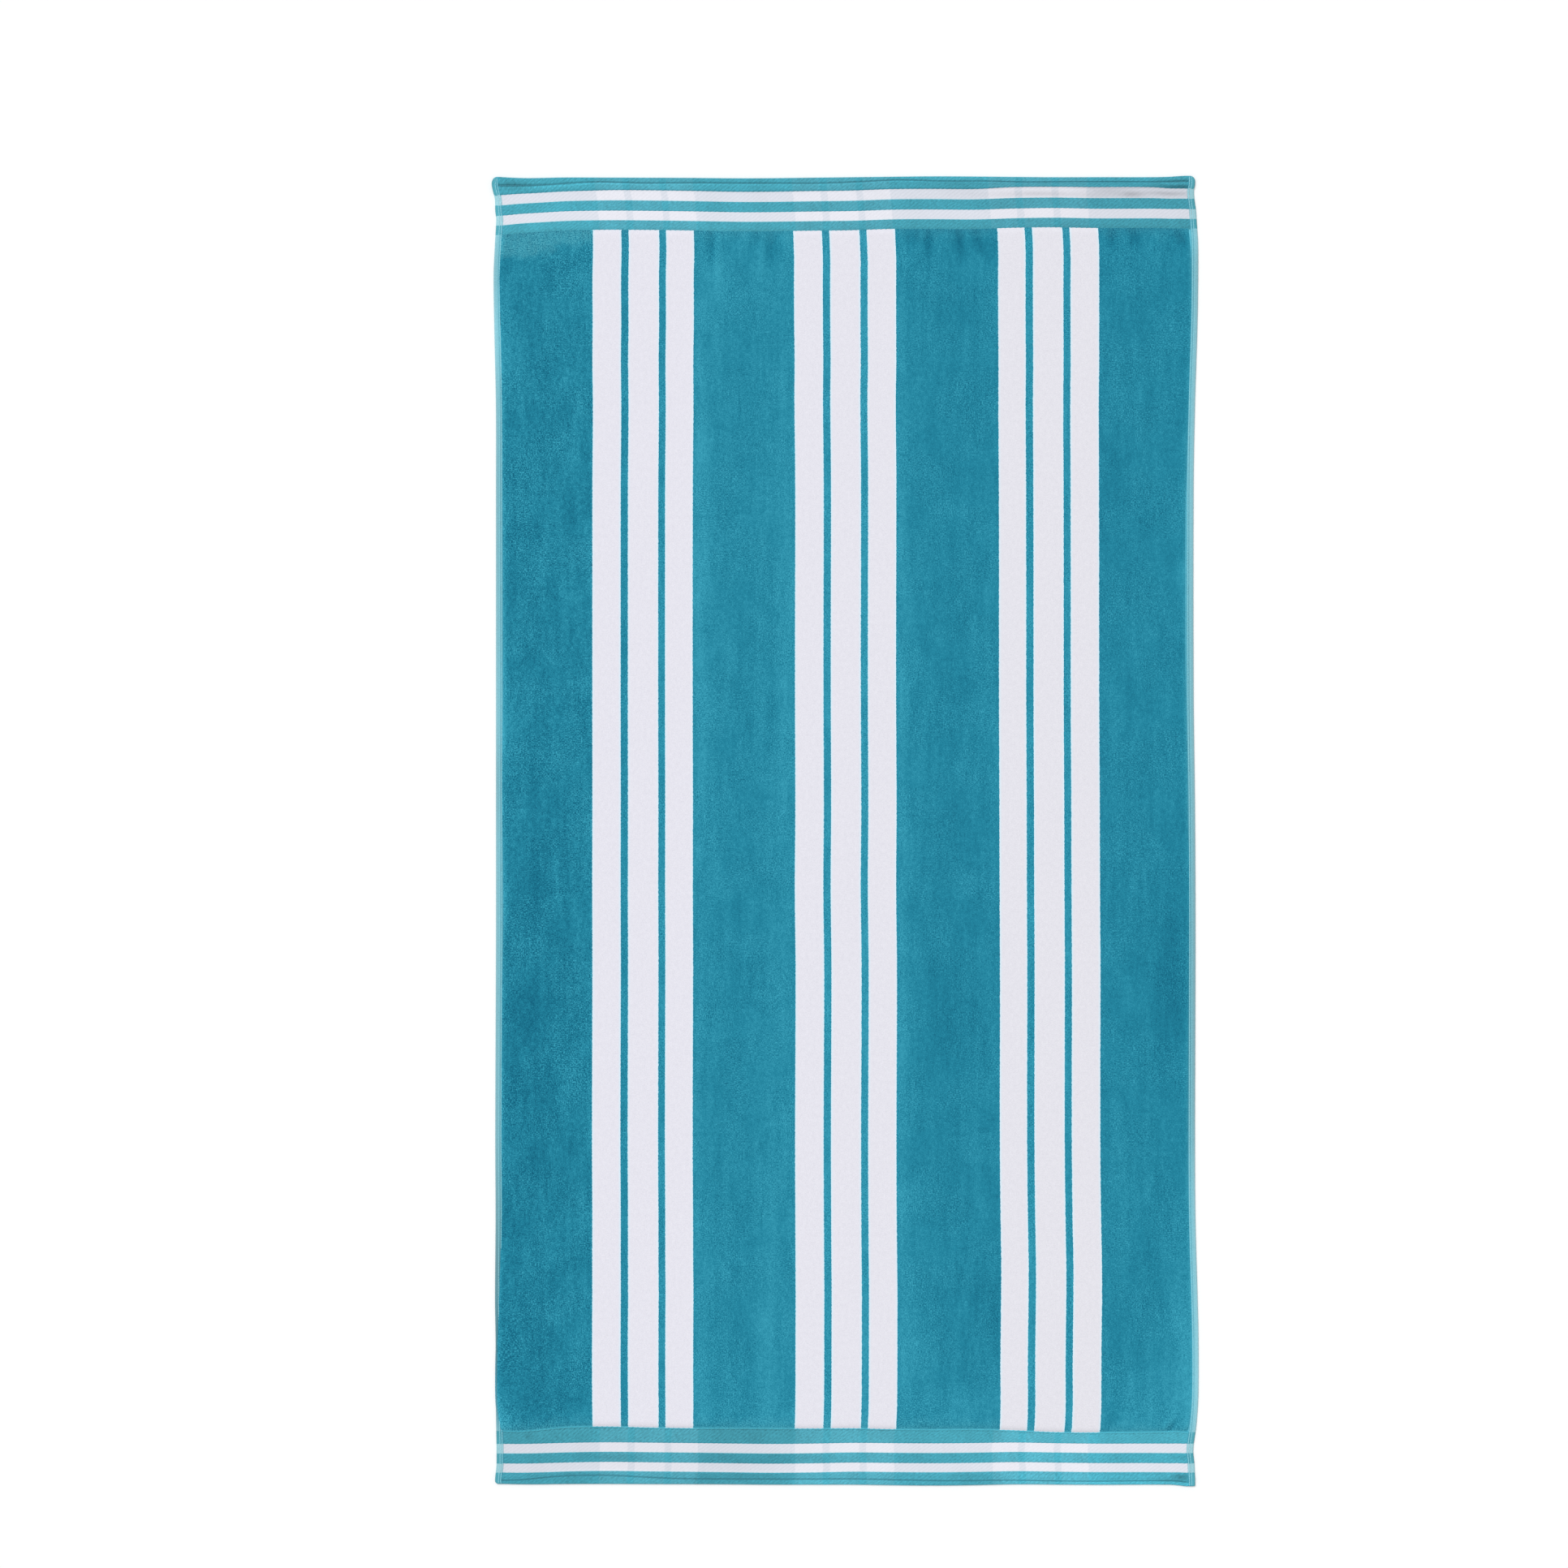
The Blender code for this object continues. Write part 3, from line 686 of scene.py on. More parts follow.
# The flat-woven ends, with the hem folded under and sewn along a furrow.
border = {
    "columnStep": 1.12,
    "rowStep": 1.0,
    "under": 3.0,  # how far each runs in under the pile, and under the side hems by a third
    "ribPitch": 3.5,  # from rib to rib of the twill
    "ribAngle": math.radians(33.0),
    "ribHeight": 0.05,
    "furrowRows": (1.0, 12.0, 0.55),  # the finer rows over the furrow: from, to, step
    "hemTop": 2.85,
    "hemWaver": (0.12, 9, 5, 21),  # mm; how wide and how long, and a seed
    "hemEnd": (13.4, 16.2),  # where the hem's fold starts and ends its slope
    "edgeRound": 1.3,
    "furrow": {"halfWidth": 0.9, "depth": 0.9},
    # across; how far in from the top and from the bottom edge the furrow lies
    "furrowLine": (
        (0, 7.6, 5.5), (17, 7.6, 6.0), (45, 7.8, 8.0), (73, 7.6, 9.3), (130, 5.7, 9.6), (157, 6.2, 9.2),
        (186, 6.8, 8.2), (222, 6.4, 7.0), (270, 5.9, 6.5), (342, 6.0, 6.8), (395, 6.7, 6.9),
        (447, 5.9, 6.9), (499, 4.4, 6.8), (551, 5.9, 6.3), (604, 5.8, 5.9), (656, 7.4, 5.8),
        (708, 6.8, 5.8), (760, 6.6, 6.0), (864, 7.0, 6.2),
    ),
    # across; how many levels the teal wefts are lighter in the top and in the bottom border, painted light
    # and shade where the border tilts to the light and away from it
    "tealTones": (
        (0, 2, -12), (112, 2, -9), (130, 1, -4), (240, 0, -4), (256, -1, -13), (360, -3, -12),
        (380, -4, 0), (490, -5, 0), (506, -6, -3), (615, -8, -1), (632, -8, 8), (740, -10, 8),
        (760, -11, 5), (864, -13, 3),
    ),
    # and the top border's two white stripes, and both of the bottom border's; the top border's first
    # stripe is painted darker towards the right, as shade where the cloth dips
    "whiteTones": (
        (0, 4, 7, -4), (118, 4, 4, -3), (300, 2, 4, -4), (370, 2, 4, 1), (500, -1, 2, 3),
        (560, -3, 2, 3), (620, -3, 1, 4), (700, -4, -1, 5), (740, -11, -3, 6), (800, -12, -3, 6),
        (850, -14, -4, 5), (864, -14, -4, 5),
    ),
    # across, down, half its width, half its length, levels: painted shade and light where the hems fold
    # and pucker
    "foldLightAndShade": (
        (24, 8, 24, 3.2, -26), (842, 5.5, 22, 1.4, -20), (838, 9.3, 24, 1.2, 8),
        (845, 13.2, 24, 2.0, -28), (848, 1607, 13, 2.6, -30), (838, 1612, 20, 2.2, -16),
        (831, 1604, 2.2, 2.4, 10), (40, 1556, 5, 4, -12), (700, 9, 60, 2.4, -6), (560, 8, 50, 2.4, -5),
        (850, 45, 12, 3, -10), (850, 1584, 14, 3, -12), (150, 1585, 42, 5, -11), (396, 1585, 34, 5, -7),
        (280, 1610, 44, 5, -4),
    ),
    # and the painted shade of the creases in the white wefts
    "whiteCreaseShade": (
        (670, 22.4, 40, 3.2, -13), (760, 20.0, 22, 3.0, -16), (788, 23.4, 13, 3.2, -26),
        (832, 21.9, 26, 2.6, -27), (600, 21, 34, 3.0, -5), (680, 24.5, 60, 2.4, -11),
        (770, 24.5, 34, 2.4, -10),
    ),
    "furrowShade": (-27.0, -0.2, 0.65),  # painted shade in the sewn furrow: levels, its middle and half its width
    "lip": (1.6, 0.8),  # mm inside the furrow: the lip's middle and half its width
    # across; painted light and shade: levels outside the furrow at the top and at the bottom, and a
    # painted highlight on the lip inside it
    "outsideTones": (
        (0, -4, 0, 16, 3), (130, -4, 0, 14, 3), (250, -4, 1, 10, 4), (390, -1, 7, 8, 4), (480, 3, 4, 8, 3),
        (570, 10, 0, 6, 8), (640, 7, 4, 6, 5), (780, 6, 11, 4, 5), (864, 6, 11, 3, 5),
    ),
    "pileShadeLine": (-7.0, 4.5),  # painted shade beside the pile at the top: levels, and how far out they reach
    # mm below the pile at the bottom; gain: its pressed-down ends, lighter with a painted highlight, and
    # the painted shade under them
    "pileEndLightAndShade": ((-1.0, 1.1, 0.2), (1.1, 2.1, -0.26)),
    # the twill's marks: how many go to a metre, and how far they wander, in mm
    "waverScale": 110.0, "waver": 3.0,  # of the ribs, in radians of one rib's turn
    "ribStep": 0.1,  # of the stripes' edges, from rib to rib
    "strayScale": (250.0, 1400.0, 1.0), "stray": 4.0,  # of the warps' colours
    "threadScale": (260.0, 820.0, 1.0), "fray": 1.6,  # of the pile's pressed-down ends
    "cloudScale": 35.0,
    # and how much of the colour each takes; the ribs' share is painted light on their crests and painted
    # shade between them
    "threadGain": 0.85, "cloudGain": 0.3, "ribGain": 0.06, "lowest": 0.87, "whiteShare": 0.17,
    "ribShade": (1.15, 0.85),  # how the warps show in a furrow and on a rib
    "fringe": 1.1,  # mm over which the wefts change colour along each white stripe's lower edge, and over which painted shade lies along its upper edge
    "fringeShare": 0.6,
    # a paler weft inside each white stripe's lower edge, and a line of painted shade above its upper edge
    "fringeLight": "#d6eff8", "fringeShade": "#3e8ea2",
    "tealLevel": 142.0, "whiteLevel": 232.0,
    "teal": "#46a3b6", "white": "#edeef7",
    "warpTeal": "#2c8aa3", "warpWhite": "#f4f3f8",
    "warpShare": (0.02, 0.11),  # how much of the warps shows between teal and white wefts
}


def ribPhase(across, down):
    return (
        across * math.sin(border["ribAngle"]) + down * math.cos(border["ribAngle"])
    ) / border["ribPitch"]


def hemTop(across, inward, atTop):
    # the folded hem over the floor: its slope to the weave, its sewn furrow and its round edge
    furrowAt = curveThrough(border["furrowLine"], 1 if atTop else 2, across)
    start, end = border["hemEnd"]
    top = towel["weave"] + (border["hemTop"] - towel["weave"]) * (1 - smoothStep(start, end, inward))
    furrow = border["furrow"]
    top = top - furrow["depth"] * np.exp(-(((inward - furrowAt) / furrow["halfWidth"]) ** 2))
    waver, *size = border["hemWaver"]
    top = top + waver * softNoise(across, inward, *size) * (inward < end)
    return roundedEdge(top, inward, border["edgeRound"])


def weftGain(across, v, atTop):
    # the tables' levels, out of 255, as a gain on the linear colour of the weft at that place; most of
    # them are painted light and shade
    # painted light and shade where the border tilts to the light and away from it
    teal = curveThrough(border["tealTones"], 1 if atTop else 2, across)
    # painted shade and light where the hems fold and pucker
    for row in border["foldLightAndShade"]:
        teal = teal + row[4] * softOval(across, v, row)
    inward = v if atTop else length - v
    past = inward - curveThrough(border["furrowLine"], 1 if atTop else 2, across)
    # painted shade in the sewn furrow
    levels, middle, wide = border["furrowShade"]
    teal = teal + levels * np.exp(-(((past - middle) / wide) ** 2))
    # a painted highlight on the furrow's lip
    levels = curveThrough(border["outsideTones"], 3 if atTop else 4, across)
    middle, wide = border["lip"]
    teal = teal + levels * np.exp(-(((past - middle) / wide) ** 2))
    # painted light and shade on the fold outside the furrow
    levels = curveThrough(border["outsideTones"], 1 if atTop else 2, across)
    soft = 0.5  # mm either way over which one tone turns into the next
    teal = teal + levels * (1 - smoothStep(-soft, soft, past))
    # painted shade on the weave beside the pile at the top
    if atTop:
        levels, reach = border["pileShadeLine"]
        teal = teal + levels * (1 - smoothStep(0.0, reach, edges["top"] - v))
    gain = levelsAsGain(teal, border["tealLevel"])
    for n, (start, end) in enumerate(stripes["whiteWefts"]):
        # the top border's first white stripe gets painted shade towards the right
        white = curveThrough(border["whiteTones"], 1 + min(n, 2), across)
        # painted shade in the white wefts' creases
        for row in border["whiteCreaseShade"]:
            white = white + row[4] * softOval(across, v, row)
        within = (v > start - soft) & (v < end + soft)
        gain = np.where(within, levelsAsGain(white, border["whiteLevel"]), gain)
    return gain


def makeBorder(name, atTop, material):
    depth = towel["topBorder"] if atTop else towel["bottomBorder"]
    overlap = border["under"] / 3
    columns = linesAlong(
        edges["left"] - overlap, edges["right"] + overlap, border["columnStep"], (0.0, 1.0),
    )
    fine = np.arange(*border["furrowRows"])
    plain = np.arange(depth + border["under"], border["furrowRows"][1] + 0.2, -border["rowStep"])
    inwards = np.concatenate(((0.0, 0.2, 0.55), fine, plain[::-1]))
    rows = inwards if atTop else length - inwards[::-1]
    mesh, across, down, foot = slab(name, columns, rows)
    inward = down if atTop else length - down

    u = across - curveThrough(stripes["gather"], 1 if atTop else 2, across)
    v = alongWarps(across, down)

    top = hemTop(across, inward, atTop) + border["ribHeight"] * np.sin(2 * math.pi * ribPhase(u, v))
    # the underside stops at the pile's and the side hems' lines and curls in at the folded edge
    flatAcross = np.where(foot, np.clip(across, edges["left"], edges["right"]), across)
    flatInward = np.where(foot, np.clip(inward, 0.0, depth), inward)
    flatDown = flatInward if atTop else length - flatInward
    x, y = lieDown(flatAcross, flatDown)
    curl = np.where(foot & (inward < 0.01), towel["curl"], 0.0)
    y = y + (-curl if atTop else curl)
    writePoints(mesh, x, y, np.where(foot, 0.0, top))
    addMap(mesh, "clothMap", u * mm, v * mm)
    addValue(mesh, "gain", weftGain(across, v, atTop))
    return finishPiece(mesh, material)


def cottonTwill():
    # cotton twill without pile: slanted ribs, each a run of weft threads over the warps, whose
    # own stripes show through the white wefts as pale bars
    look = border
    material, add, shader = newMaterial(
        "cotton twill", Roughness=0.85, Specular_IOR_Level=0.2, Sheen_Weight=0.05,
    )
    place = add("UVMap", uv_map="clothMap")
    broad = add("Attribute", out="Fac", attribute_name="gain")
    turn = 2 * math.pi / (look["ribPitch"] * mm)
    phase = add(
        "VectorMath", place,
        (turn * math.sin(look["ribAngle"]), turn * math.cos(look["ribAngle"]), 0.0),
        operation="DOT_PRODUCT",
    )
    waver = add("TexNoise", place, noise_dimensions="2D", Scale=look["waverScale"], Detail=2.0)
    phase = add("Math", waver, look["waver"], phase, operation="MULTIPLY_ADD")
    rib = add("Math", phase, operation="SINE")
    apart = add("SeparateXYZ", place).node.outputs

    # the stripes' edges step from rib to rib
    down = add("Math", rib, look["ribStep"] * mm, apart[1], operation="MULTIPLY_ADD")
    weftWhite = stripeMask(add, down, stripes["whiteWefts"])
    strayMap = add("Mapping", place, Scale=look["strayScale"])
    stray = add("TexNoise", strayMap, noise_dimensions="2D", Scale=1.0, Detail=1.0)
    across = add("Math", stray, look["stray"] * mm, apart[0], operation="MULTIPLY_ADD")
    half = look["stray"] / 2
    warps = [(start + half, end + half) for start, end in stripes["whiteWarps"]]
    warpWhite = stripeMask(add, across, warps)
    weftColour = add("Mix", weftWhite, colour(look["teal"]), colour(look["white"]), data_type="RGBA")
    fringe = [(end - look["fringe"], end) for start, end in stripes["whiteWefts"]]
    over = [(start - look["fringe"], start) for start, end in stripes["whiteWefts"]]
    # a paler weft along each white stripe's lower edge and painted shade along its upper edge
    for edge, code in ((fringe, look["fringeLight"]), (over, look["fringeShade"])):
        amount = add("Math", stripeMask(add, down, edge), look["fringeShare"], operation="MULTIPLY")
        weftColour = add("Mix", amount, weftColour, colour(code), data_type="RGBA")
    warpColour = add(
        "Mix", warpWhite, colour(look["warpTeal"]), colour(look["warpWhite"]), data_type="RGBA",
    )
    low, high = look["warpShare"]
    share = add("MapRange", weftWhite, 0.0, 1.0, low, high)
    furrows = add("MapRange", rib, -1.0, 1.0, *look["ribShade"])
    share = add("Math", share, furrows, operation="MULTIPLY")
    cloth = add("Mix", share, weftColour, warpColour, data_type="RGBA")

    # threads, the broad unevenness and the painted light and shade that the weft's gain carries, as a gain
    turned = add("Mapping", place, Rotation=(0.0, 0.0, look["ribAngle"]))
    threadMap = add("Mapping", turned, Scale=look["threadScale"])
    threads = add("TexNoise", threadMap, noise_dimensions="2D", Scale=1.0, Detail=2.0, Roughness=0.6)
    clouds = add("TexNoise", place, noise_dimensions="2D", Scale=look["cloudScale"], Detail=3.0)
    # the white wefts are even, and the teal ones show each thread
    strength = add("MapRange", weftWhite, 0.0, 1.0, 1.0, look["whiteShare"])
    marks = -0.5 * look["threadGain"]
    # the ribs' crests painted lighter and their furrows darker, as painted light and shade over their
    # relief
    for kind, amount in ((threads, "threadGain"), (clouds, "cloudGain"), (rib, "ribGain")):
        marks = add("Math", kind, look[amount], marks, operation="MULTIPLY_ADD")
    marks = add("Math", marks, strength, operation="MULTIPLY")
    gain = add("Math", marks, look["lowest"], operation="ADD")
    frayed = add("Math", threads, look["fray"] * mm, apart[1], operation="MULTIPLY_ADD")
    frayed = add("Math", frayed, 0.5 * look["fray"] * mm, operation="SUBTRACT")
    # a painted highlight on the pile's pressed-down ends below its bottom edge, and painted shade under
    # them
    for start, end, change in look["pileEndLightAndShade"]:
        zone = stripeMask(add, frayed, ((edges["bottom"] + start, edges["bottom"] + end),))
        gain = add("Math", zone, change, gain, operation="MULTIPLY_ADD")
    gain = add("Math", gain, broad, operation="MULTIPLY")
    face = add("Mix", 1.0, cloth, gain, data_type="RGBA", blend_type="MULTIPLY")
    feed(shader.inputs["Base Color"], face)
    feed(shader.inputs["Normal"], add("Bump", Height=marks, Strength=0.3, Distance=0.0004))
    return material


# The narrow folded hems down the long sides.
sideHem = {
    "inwards": (
        0.0, 0.25, 0.7, 1.3, 2.2, 3.0, 3.5, 4.0, 5.2, 6.0, 6.5, 7.0, 7.8, 8.4, 9.0, 10.5, 12.6,
    ),
    "fold": 8.8,  # how wide the fold is; past it the ground weave lies flat up to the pile
    "rowStep": 1.6,
    "top": 2.35,
    "overEndHem": 3.5,
    "comesDown": (13.0, 18.0),  # from the towel's ends, where the hem leaves the end hem
    "edgeRound": 1.2,
    "onWeave": 0.05,  # height over the weave of its flat part
    "waver": (0.16, 3.5, 7, 31),  # mm; how wide and how long, and a seed
    "rows": (4.3, 7.1),  # where its two rows of stitches lie
    "stitch": 3.2,
    "pull": (0.28, 0.08, 0.6),  # how deep a row draws in, how much more at a stitch, half its width
    "shadedCreases": ((5.3, 6.2), (7.9, 8.8)),  # painted shade: darker lines beside them
    "outer": "#8bbac4", "inner": "#5fb8cd",  # beside the pile, the inner one darker with painted shade from the pile
    "outerPlain": "#4c97a3", "innerPlain": "#50a8bd",  # and beside the border's teal wefts
    "outerStriped": "#8bbec7", "innerStriped": "#b0d4de",  # and its white ones
    "threadScale": (700.0, 420.0, 1.0),  # how many marks of its threads go to a metre
    "fray": 2.0, "creaseFray": 1.2,  # mm that they fray a colour's end and a crease
    "threadGain": 0.34, "lowest": 0.83, "creaseShade": 0.74,  # how much of the colour each takes
    # down; how many mm further the left hem is rolled under
    "rolled": ((0, 0), (1330, 0), (1400, 2.2), (1440, 3.5), (1520, 3.5), (1555, 0), (1619, 0)),
    # down; how many levels lighter the left and the right hem are
    "light": (
        (0, 10, 6), (28, 17, -2), (60, 16, 4), (80, 9, 6), (112, 2, -6), (195, 17, 0), (275, 3, 2),
        (395, -4, 3), (555, 1, -3), (675, 6, -5), (740, -6, -6), (835, 2, -10), (1035, -3, -15),
        (1180, -6, -9), (1230, -12, 1), (1280, -20, 6), (1350, -32, 9), (1440, -40, 13),
        (1490, -44, 14), (1520, -32, 13), (1560, 4, 6), (1590, 4, 6), (1619, 8, 14),
    ),
    "level": 170.0,
}


def sideHemTop(inward, down):
    fromEnd = np.minimum(down, length - down)
    over = 1 - smoothStep(*sideHem["comesDown"], fromEnd)
    top = sideHem["top"] + (sideHem["overEndHem"] - sideHem["top"]) * over
    depth, more, wide = sideHem["pull"]
    for row in sideHem["rows"]:
        held = depth + more * np.cos(2 * math.pi * down / sideHem["stitch"])
        top = top - held * np.exp(-(((inward - row) / wide) ** 2))
    waver, *size = sideHem["waver"]
    top = top + waver * softNoise(inward, down, *size)
    inner = smoothStep(0.0, sideHem["edgeRound"], sideHem["fold"] - inward)
    flat = towel["weave"] + sideHem["onWeave"]
    top = flat + (top - flat) * inner
    return roundedEdge(top, np.minimum(inward, fromEnd), sideHem["edgeRound"])


def makeSideHem(name, atLeft, material):
    inwards = np.array(sideHem["inwards"])
    columns = inwards if atLeft else width - inwards[::-1]
    rows = linesAlong(0.0, length, sideHem["rowStep"], (0.0, 0.25, 0.7, 1.3))
    mesh, across, down, foot = slab(name, columns, rows)
    inward = across if atLeft else width - across
    # along the borders the flat part stops at the fold
    fromEnd = np.minimum(down, length - down)
    inBorder = (down < edges["top"] + 1.0) | (down > edges["bottom"] - 1.0)
    shown = np.where(inBorder, np.minimum(inward, sideHem["fold"]), inward)
    x, y = lieDown(shown if atLeft else width - shown, down)
    curl = np.where(foot & (inward < 0.01), towel["curl"], 0.0)
    x = x + (curl if atLeft else -curl)
    curl = np.where(foot & (fromEnd < 0.01), towel["curl"], 0.0)
    y = y - curl * np.where(down < length / 2, 1, -1)
    z = np.where(foot, 0.0, sideHemTop(inward, down))
    writePoints(mesh, x, y, z)
    rolled = curveThrough(sideHem["rolled"], 1, down) * atLeft
    addMap(mesh, "clothMap", (inward + rolled) * mm, alongWarps(across, down) * mm)
    light = curveThrough(sideHem["light"], 1 if atLeft else 2, down)
    addValue(mesh, "gain", levelsAsGain(light, sideHem["level"]))
    return finishPiece(mesh, material)


def groundWeave():
    # the plain ground weave, folded twice: paler than the pile, with painted shade where the pile stands
    # over it
    look = sideHem
    material, add, shader = newMaterial("cotton ground weave", Roughness=0.85, Specular_IOR_Level=0.2)
    place = add("UVMap", uv_map="clothMap")
    apart = add("SeparateXYZ", place).node.outputs
    inward = add("MapRange", apart[0], 0.0, towel["sideHem"] * mm, 0.0, 1.0)
    threadMap = add("Mapping", place, Scale=look["threadScale"])
    threads = add("TexNoise", threadMap, noise_dimensions="2D", Scale=1.0, Detail=2.0)
    strayed = add("Math", threads, look["fray"] * mm, apart[1], operation="MULTIPLY_ADD")
    strayed = add("Math", strayed, 0.5 * look["fray"] * mm, operation="SUBTRACT")
    plain = add("Mix", inward, colour(look["outer"]), colour(look["inner"]), data_type="RGBA")
    past = 9.0  # well over the towel's ends
    borders = ((-past, edges["top"]), (edges["bottom"], length + past))
    for kind, zones in (("Plain", borders), ("Striped", stripes["whiteWefts"])):
        other = add(
            "Mix", inward, colour(look["outer" + kind]), colour(look["inner" + kind]),
            data_type="RGBA",
        )
        plain = add("Mix", stripeMask(add, strayed, zones), plain, other, data_type="RGBA")
    light = add("Attribute", out="Fac", attribute_name="gain")
    # painted shade along the creases beside the rows of stitches
    aside = add("Math", threads, look["creaseFray"] * mm, apart[0], operation="MULTIPLY_ADD")
    half = look["creaseFray"] / 2
    shadedCreases = [(start + half, end + half) for start, end in look["shadedCreases"]]
    creaseShading = add("MapRange", stripeMask(add, aside, shadedCreases), 0.0, 1.0, 1.0, look["creaseShade"])
    light = add("Math", light, creaseShading, operation="MULTIPLY")
    gain = add("Math", threads, look["threadGain"], look["lowest"], operation="MULTIPLY_ADD")
    gain = add("Math", gain, light, operation="MULTIPLY")
    face = add("Mix", 1.0, plain, gain, data_type="RGBA", blend_type="MULTIPLY")
    feed(shader.inputs["Base Color"], face)
    feed(shader.inputs["Normal"], add("Bump", Height=threads, Strength=0.4, Distance=0.0003))
    return material


def manyOf(name, bm, count):
    # an Array modifier repeats one small shape; each copy's points then come back around 0
    mesh = bpy.data.meshes.new(name)
    bm.to_mesh(mesh)
    bm.free()
    each = len(mesh.vertices)
    one = bpy.data.objects.new(name, mesh)
    bpy.context.scene.collection.objects.link(one)
    row = one.modifiers.new("row", "ARRAY")
    row.count = count
    row.use_relative_offset = False
    row.use_constant_offset = True
    row.constant_offset_displace = (1.0, 0.0, 0.0)
    graph = bpy.context.evaluated_depsgraph_get()
    made = bpy.data.meshes.new_from_object(one.evaluated_get(graph))
    bpy.data.objects.remove(one)
    bpy.data.meshes.remove(mesh)
    made.name = name
    points = readPoints(made).reshape(count, each, 3)
    points[:, :, 0] -= np.arange(count)[:, None]
    return made, points


thread = {
    "length": 3.6, "sideThickness": 0.95, "endThickness": 0.6,
    "over": 0.1,  # its middle over the cloth
    "uneven": 0.08, "lean": 0.06,  # how much the stitches' lengths and directions vary
    "shift": 0.9,  # of the inner row on from the outer one
    "sideRun": (2.4, 2.0), "endRun": (10.5, 10.0),  # in from the towel's edges, start and end
    "shadow": 0.8,  # of its colour between the strands
    "sideColour": "#92d8e4", "endColour": "#3d8fa2",
}


def makeStitches(name, places, heightAt, thickness, material):
    # each stitch is a short bead of thread that lies in its furrow
    bm = bmesh.new()
    bmesh.ops.create_uvsphere(bm, u_segments=6, v_segments=5, radius=0.5)
    mesh, points = manyOf(name, bm, len(places))
    rng = np.random.default_rng(41)
    sizes = 1 + thread["uneven"] * rng.standard_normal((len(places), 1))
    along = points[:, :, 2] * thread["length"] * sizes
    lean = thread["lean"] * rng.standard_normal((len(places), 1))
    aside = points[:, :, 0] * thickness + along * lean
    up = points[:, :, 1] * thickness
    alongSide = name.startswith("side")
    dAcross, dDown = (aside, along) if alongSide else (along, aside)
    across = (places[:, 0:1] + dAcross).ravel()
    down = (places[:, 1:2] + dDown).ravel()
    x, y = lieDown(across, down)
    z = heightAt(across, down) + thread["over"] + up.ravel()
    writePoints(mesh, x, y, z)
    return finishPiece(mesh, material)


def makeSideStitches(material):
    start, end = thread["sideRun"]
    steps = np.arange(start, length - end, sideHem["stitch"])
    places = []
    for row, shift in zip(sideHem["rows"], (0.0, thread["shift"])):
        for column, across in ((1, row), (2, width - row)):
            # none where the pile hides the row
            shown = curveThrough(towel["hemShown"], column, steps + shift)
            inField = (steps > towel["topBorder"]) & (steps < length - towel["bottomBorder"])
            kept = steps[~inField | (shown > row - 1.0)]
            places.append(np.stack((np.full(len(kept), across), kept + shift), 1))

    def heightAt(across, down):
        return sideHemTop(np.minimum(across, width - across), down)

    places = np.concatenate(places)
    return makeStitches("side_hem_stitches", places, heightAt, thread["sideThickness"], material)


def makeEndStitches(material):
    start, end = thread["endRun"]
    steps = np.arange(start, width - end, sideHem["stitch"])
    top = np.stack((steps, curveThrough(border["furrowLine"], 1, steps)), 1)
    bottom = np.stack((steps, length - curveThrough(border["furrowLine"], 2, steps)), 1)

    def heightAt(across, down):
        atTop = down < length / 2
        inward = np.where(atTop, down, length - down)
        return np.where(atTop, hemTop(across, inward, True), hemTop(across, inward, False))

    places = np.concatenate((top, bottom))
    return makeStitches("end_hem_stitches", places, heightAt, thread["endThickness"], material)


def sewingThread(name, code):
    # spun polyester sewing thread: smoother than the cloth, so each stitch catches some light
    material, add, shader = newMaterial(name, Roughness=0.6, Specular_IOR_Level=0.35)
    place = add("TexCoord", out="Object")
    twist = add("TexNoise", place, Scale=900.0, Detail=1.0)
    shade = [part * thread["shadow"] for part in colour(code)[:3]] + [1.0]
    face = add("Mix", twist, shade, colour(code), data_type="RGBA")
    feed(shader.inputs["Base Color"], face)
    return material


tufts = {
    "step": 0.7, "length": 1.3, "width": 0.9, "height": 0.5,
    "inset": (0.5, 2.6), "aside": 0.5,  # how far in they grow, and off their place
    "sizes": (0.6, 1.3), "turn": 0.45,  # how their sizes and directions vary
    "sink": 0.16, "lean": 0.3,  # into the pile, and how steeply they drop outwards
}


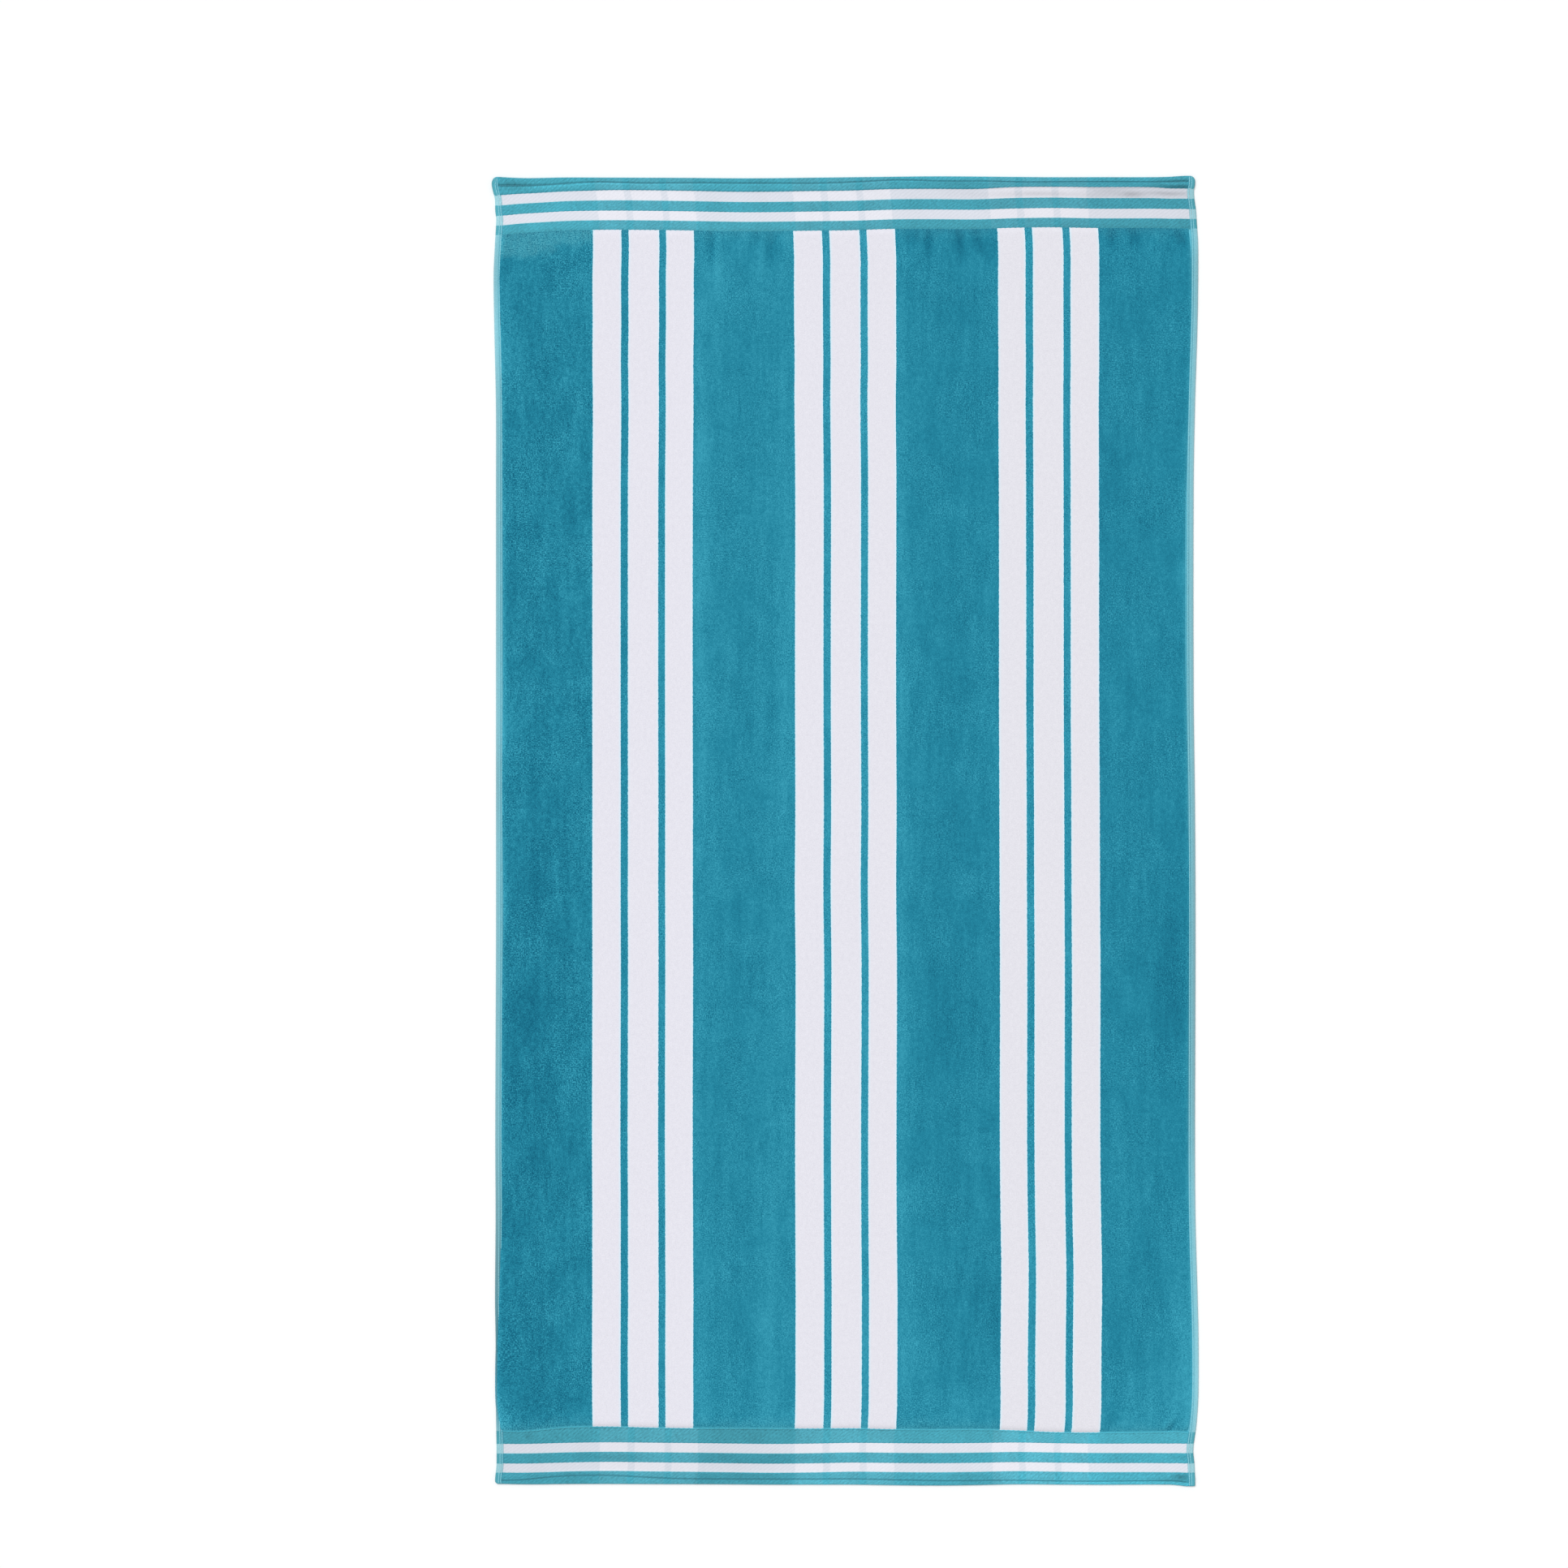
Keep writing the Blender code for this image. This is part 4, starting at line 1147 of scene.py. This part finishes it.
def makePileEdge(material):
    # the cut pile's outermost tufts, which lean over the borders and the hems
    rng = np.random.default_rng(51)
    acrossSteps = np.arange(edges["left"], edges["right"], tufts["step"])
    downSteps = np.arange(edges["top"], edges["bottom"], tufts["step"])
    places = [(acrossSteps, np.full(len(acrossSteps), edges["top"]), 0, -1),
              (acrossSteps, np.full(len(acrossSteps), edges["bottom"]), 0, 1),
              (np.full(len(downSteps), edges["left"]), downSteps, -1, 0),
              (np.full(len(downSteps), edges["right"]), downSteps, 1, 0)]
    rows = np.concatenate([
        np.stack((a, d, np.full(len(a), outX), np.full(len(a), outY)), 1)
        for a, d, outX, outY in places
    ])
    count = len(rows)
    inset = rng.uniform(*tufts["inset"], count)
    along = rng.uniform(-tufts["aside"], tufts["aside"], count)
    baseAcross = rows[:, 0] - rows[:, 2] * inset + rows[:, 3] * along
    baseDown = rows[:, 1] - rows[:, 3] * inset + rows[:, 2] * along

    bm = bmesh.new()
    bmesh.ops.create_uvsphere(bm, u_segments=5, v_segments=4, radius=0.5)
    mesh, points = manyOf("pile_edge_tufts", bm, count)
    sizes = rng.uniform(*tufts["sizes"], (count, 1))
    turn = rng.normal(0.0, tufts["turn"], (count, 1))
    outward = points[:, :, 2] * tufts["length"] * sizes
    aside = points[:, :, 0] * tufts["width"] * sizes + outward * turn
    across = baseAcross[:, None] + rows[:, 2:3] * outward + rows[:, 3:4] * aside
    down = baseDown[:, None] + rows[:, 3:4] * outward + rows[:, 2:3] * aside
    base = pileTop(baseAcross, baseDown)[:, None] - tufts["sink"]
    z = base + points[:, :, 1] * tufts["height"] - tufts["lean"] * outward
    across = spreadOverHems(across.ravel(), down.ravel())
    x, y = lieDown(across, down.ravel(), inField=True)
    writePoints(mesh, x, y, z.ravel())
    each = points.shape[1]
    addMap(mesh, "clothMap", np.repeat(baseAcross, each) * mm, np.repeat(baseDown, each) * mm)
    addValue(mesh, "tone", np.repeat(pileTone(baseAcross, baseDown), each))
    addValue(mesh, "worn", np.repeat(pileWear(baseAcross, baseDown), each))
    return finishPiece(mesh, material)


studio = {
    "world": 0.58, "key": 1.735, "keyAngle": 32.0, "keyFrom": (-0.35, 0.5, 1.0),
    "floor": 40.0, "floorColour": "#fbfbfb",
    "camera": (-0.0757, 0.0582, 5.394), "lens": 100.0,
}


def makeFloor():
    # a plain pale matte sweep
    bm = bmesh.new()
    bmesh.ops.create_grid(bm, x_segments=1, y_segments=1, size=studio["floor"] / 2)
    mesh = bpy.data.meshes.new("floor")
    bm.to_mesh(mesh)
    bm.free()
    mesh.transform(Matrix.Translation((0.0, 0.0, -0.0002)))
    paper = newMaterial(
        "matte paper sweep", Base_Color=colour(studio["floorColour"]), Roughness=0.9,
        Specular_IOR_Level=0.1,
    )[0]
    mesh.materials.append(paper)
    floor = bpy.data.objects.new("floor", mesh)
    bpy.context.scene.collection.objects.link(floor)


def lightAndShoot():
    scene = bpy.context.scene
    world = bpy.data.worlds.new("studio")
    world.use_nodes = True
    world.node_tree.nodes["Background"].inputs["Strength"].default_value = studio["world"]
    world.node_tree.nodes["Background"].inputs["Color"].default_value = (1, 1, 1, 1)
    scene.world = world
    key = bpy.data.lights.new("key", "SUN")
    key.energy = studio["key"]
    key.angle = math.radians(studio["keyAngle"])
    lamp = bpy.data.objects.new("key", key)
    lamp.rotation_euler = Vector(studio["keyFrom"]).to_track_quat("Z", "Y").to_euler()
    scene.collection.objects.link(lamp)
    camera = bpy.data.cameras.new("camera")
    camera.lens = studio["lens"]
    camera.clip_end = 100.0
    shooter = bpy.data.objects.new("camera", camera)
    shooter.location = studio["camera"]
    scene.collection.objects.link(shooter)
    scene.camera = shooter
    scene.view_settings.view_transform = "Standard"


print("weaving the cloth")
velourFinish = cottonVelour()
twillFinish = cottonTwill()
field = makeVelourField(velourFinish)
pileEdge = makePileEdge(velourFinish)
back = makeTerryBack(cottonTerry())
topBorder = makeBorder("top_border", True, twillFinish)
bottomBorder = makeBorder("bottom_border", False, twillFinish)

print("sewing the hems")
hemFinish = groundWeave()
leftHem = makeSideHem("left_side_hem", True, hemFinish)
rightHem = makeSideHem("right_side_hem", False, hemFinish)
sideStitches = makeSideStitches(sewingThread("spun polyester thread pale", thread["sideColour"]))
endStitches = makeEndStitches(sewingThread("spun polyester thread teal", thread["endColour"]))
for cloth in (field, back, topBorder, bottomBorder, leftHem, rightHem):
    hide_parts("towel")

print("setting the studio")
makeFloor()
lightAndShoot()
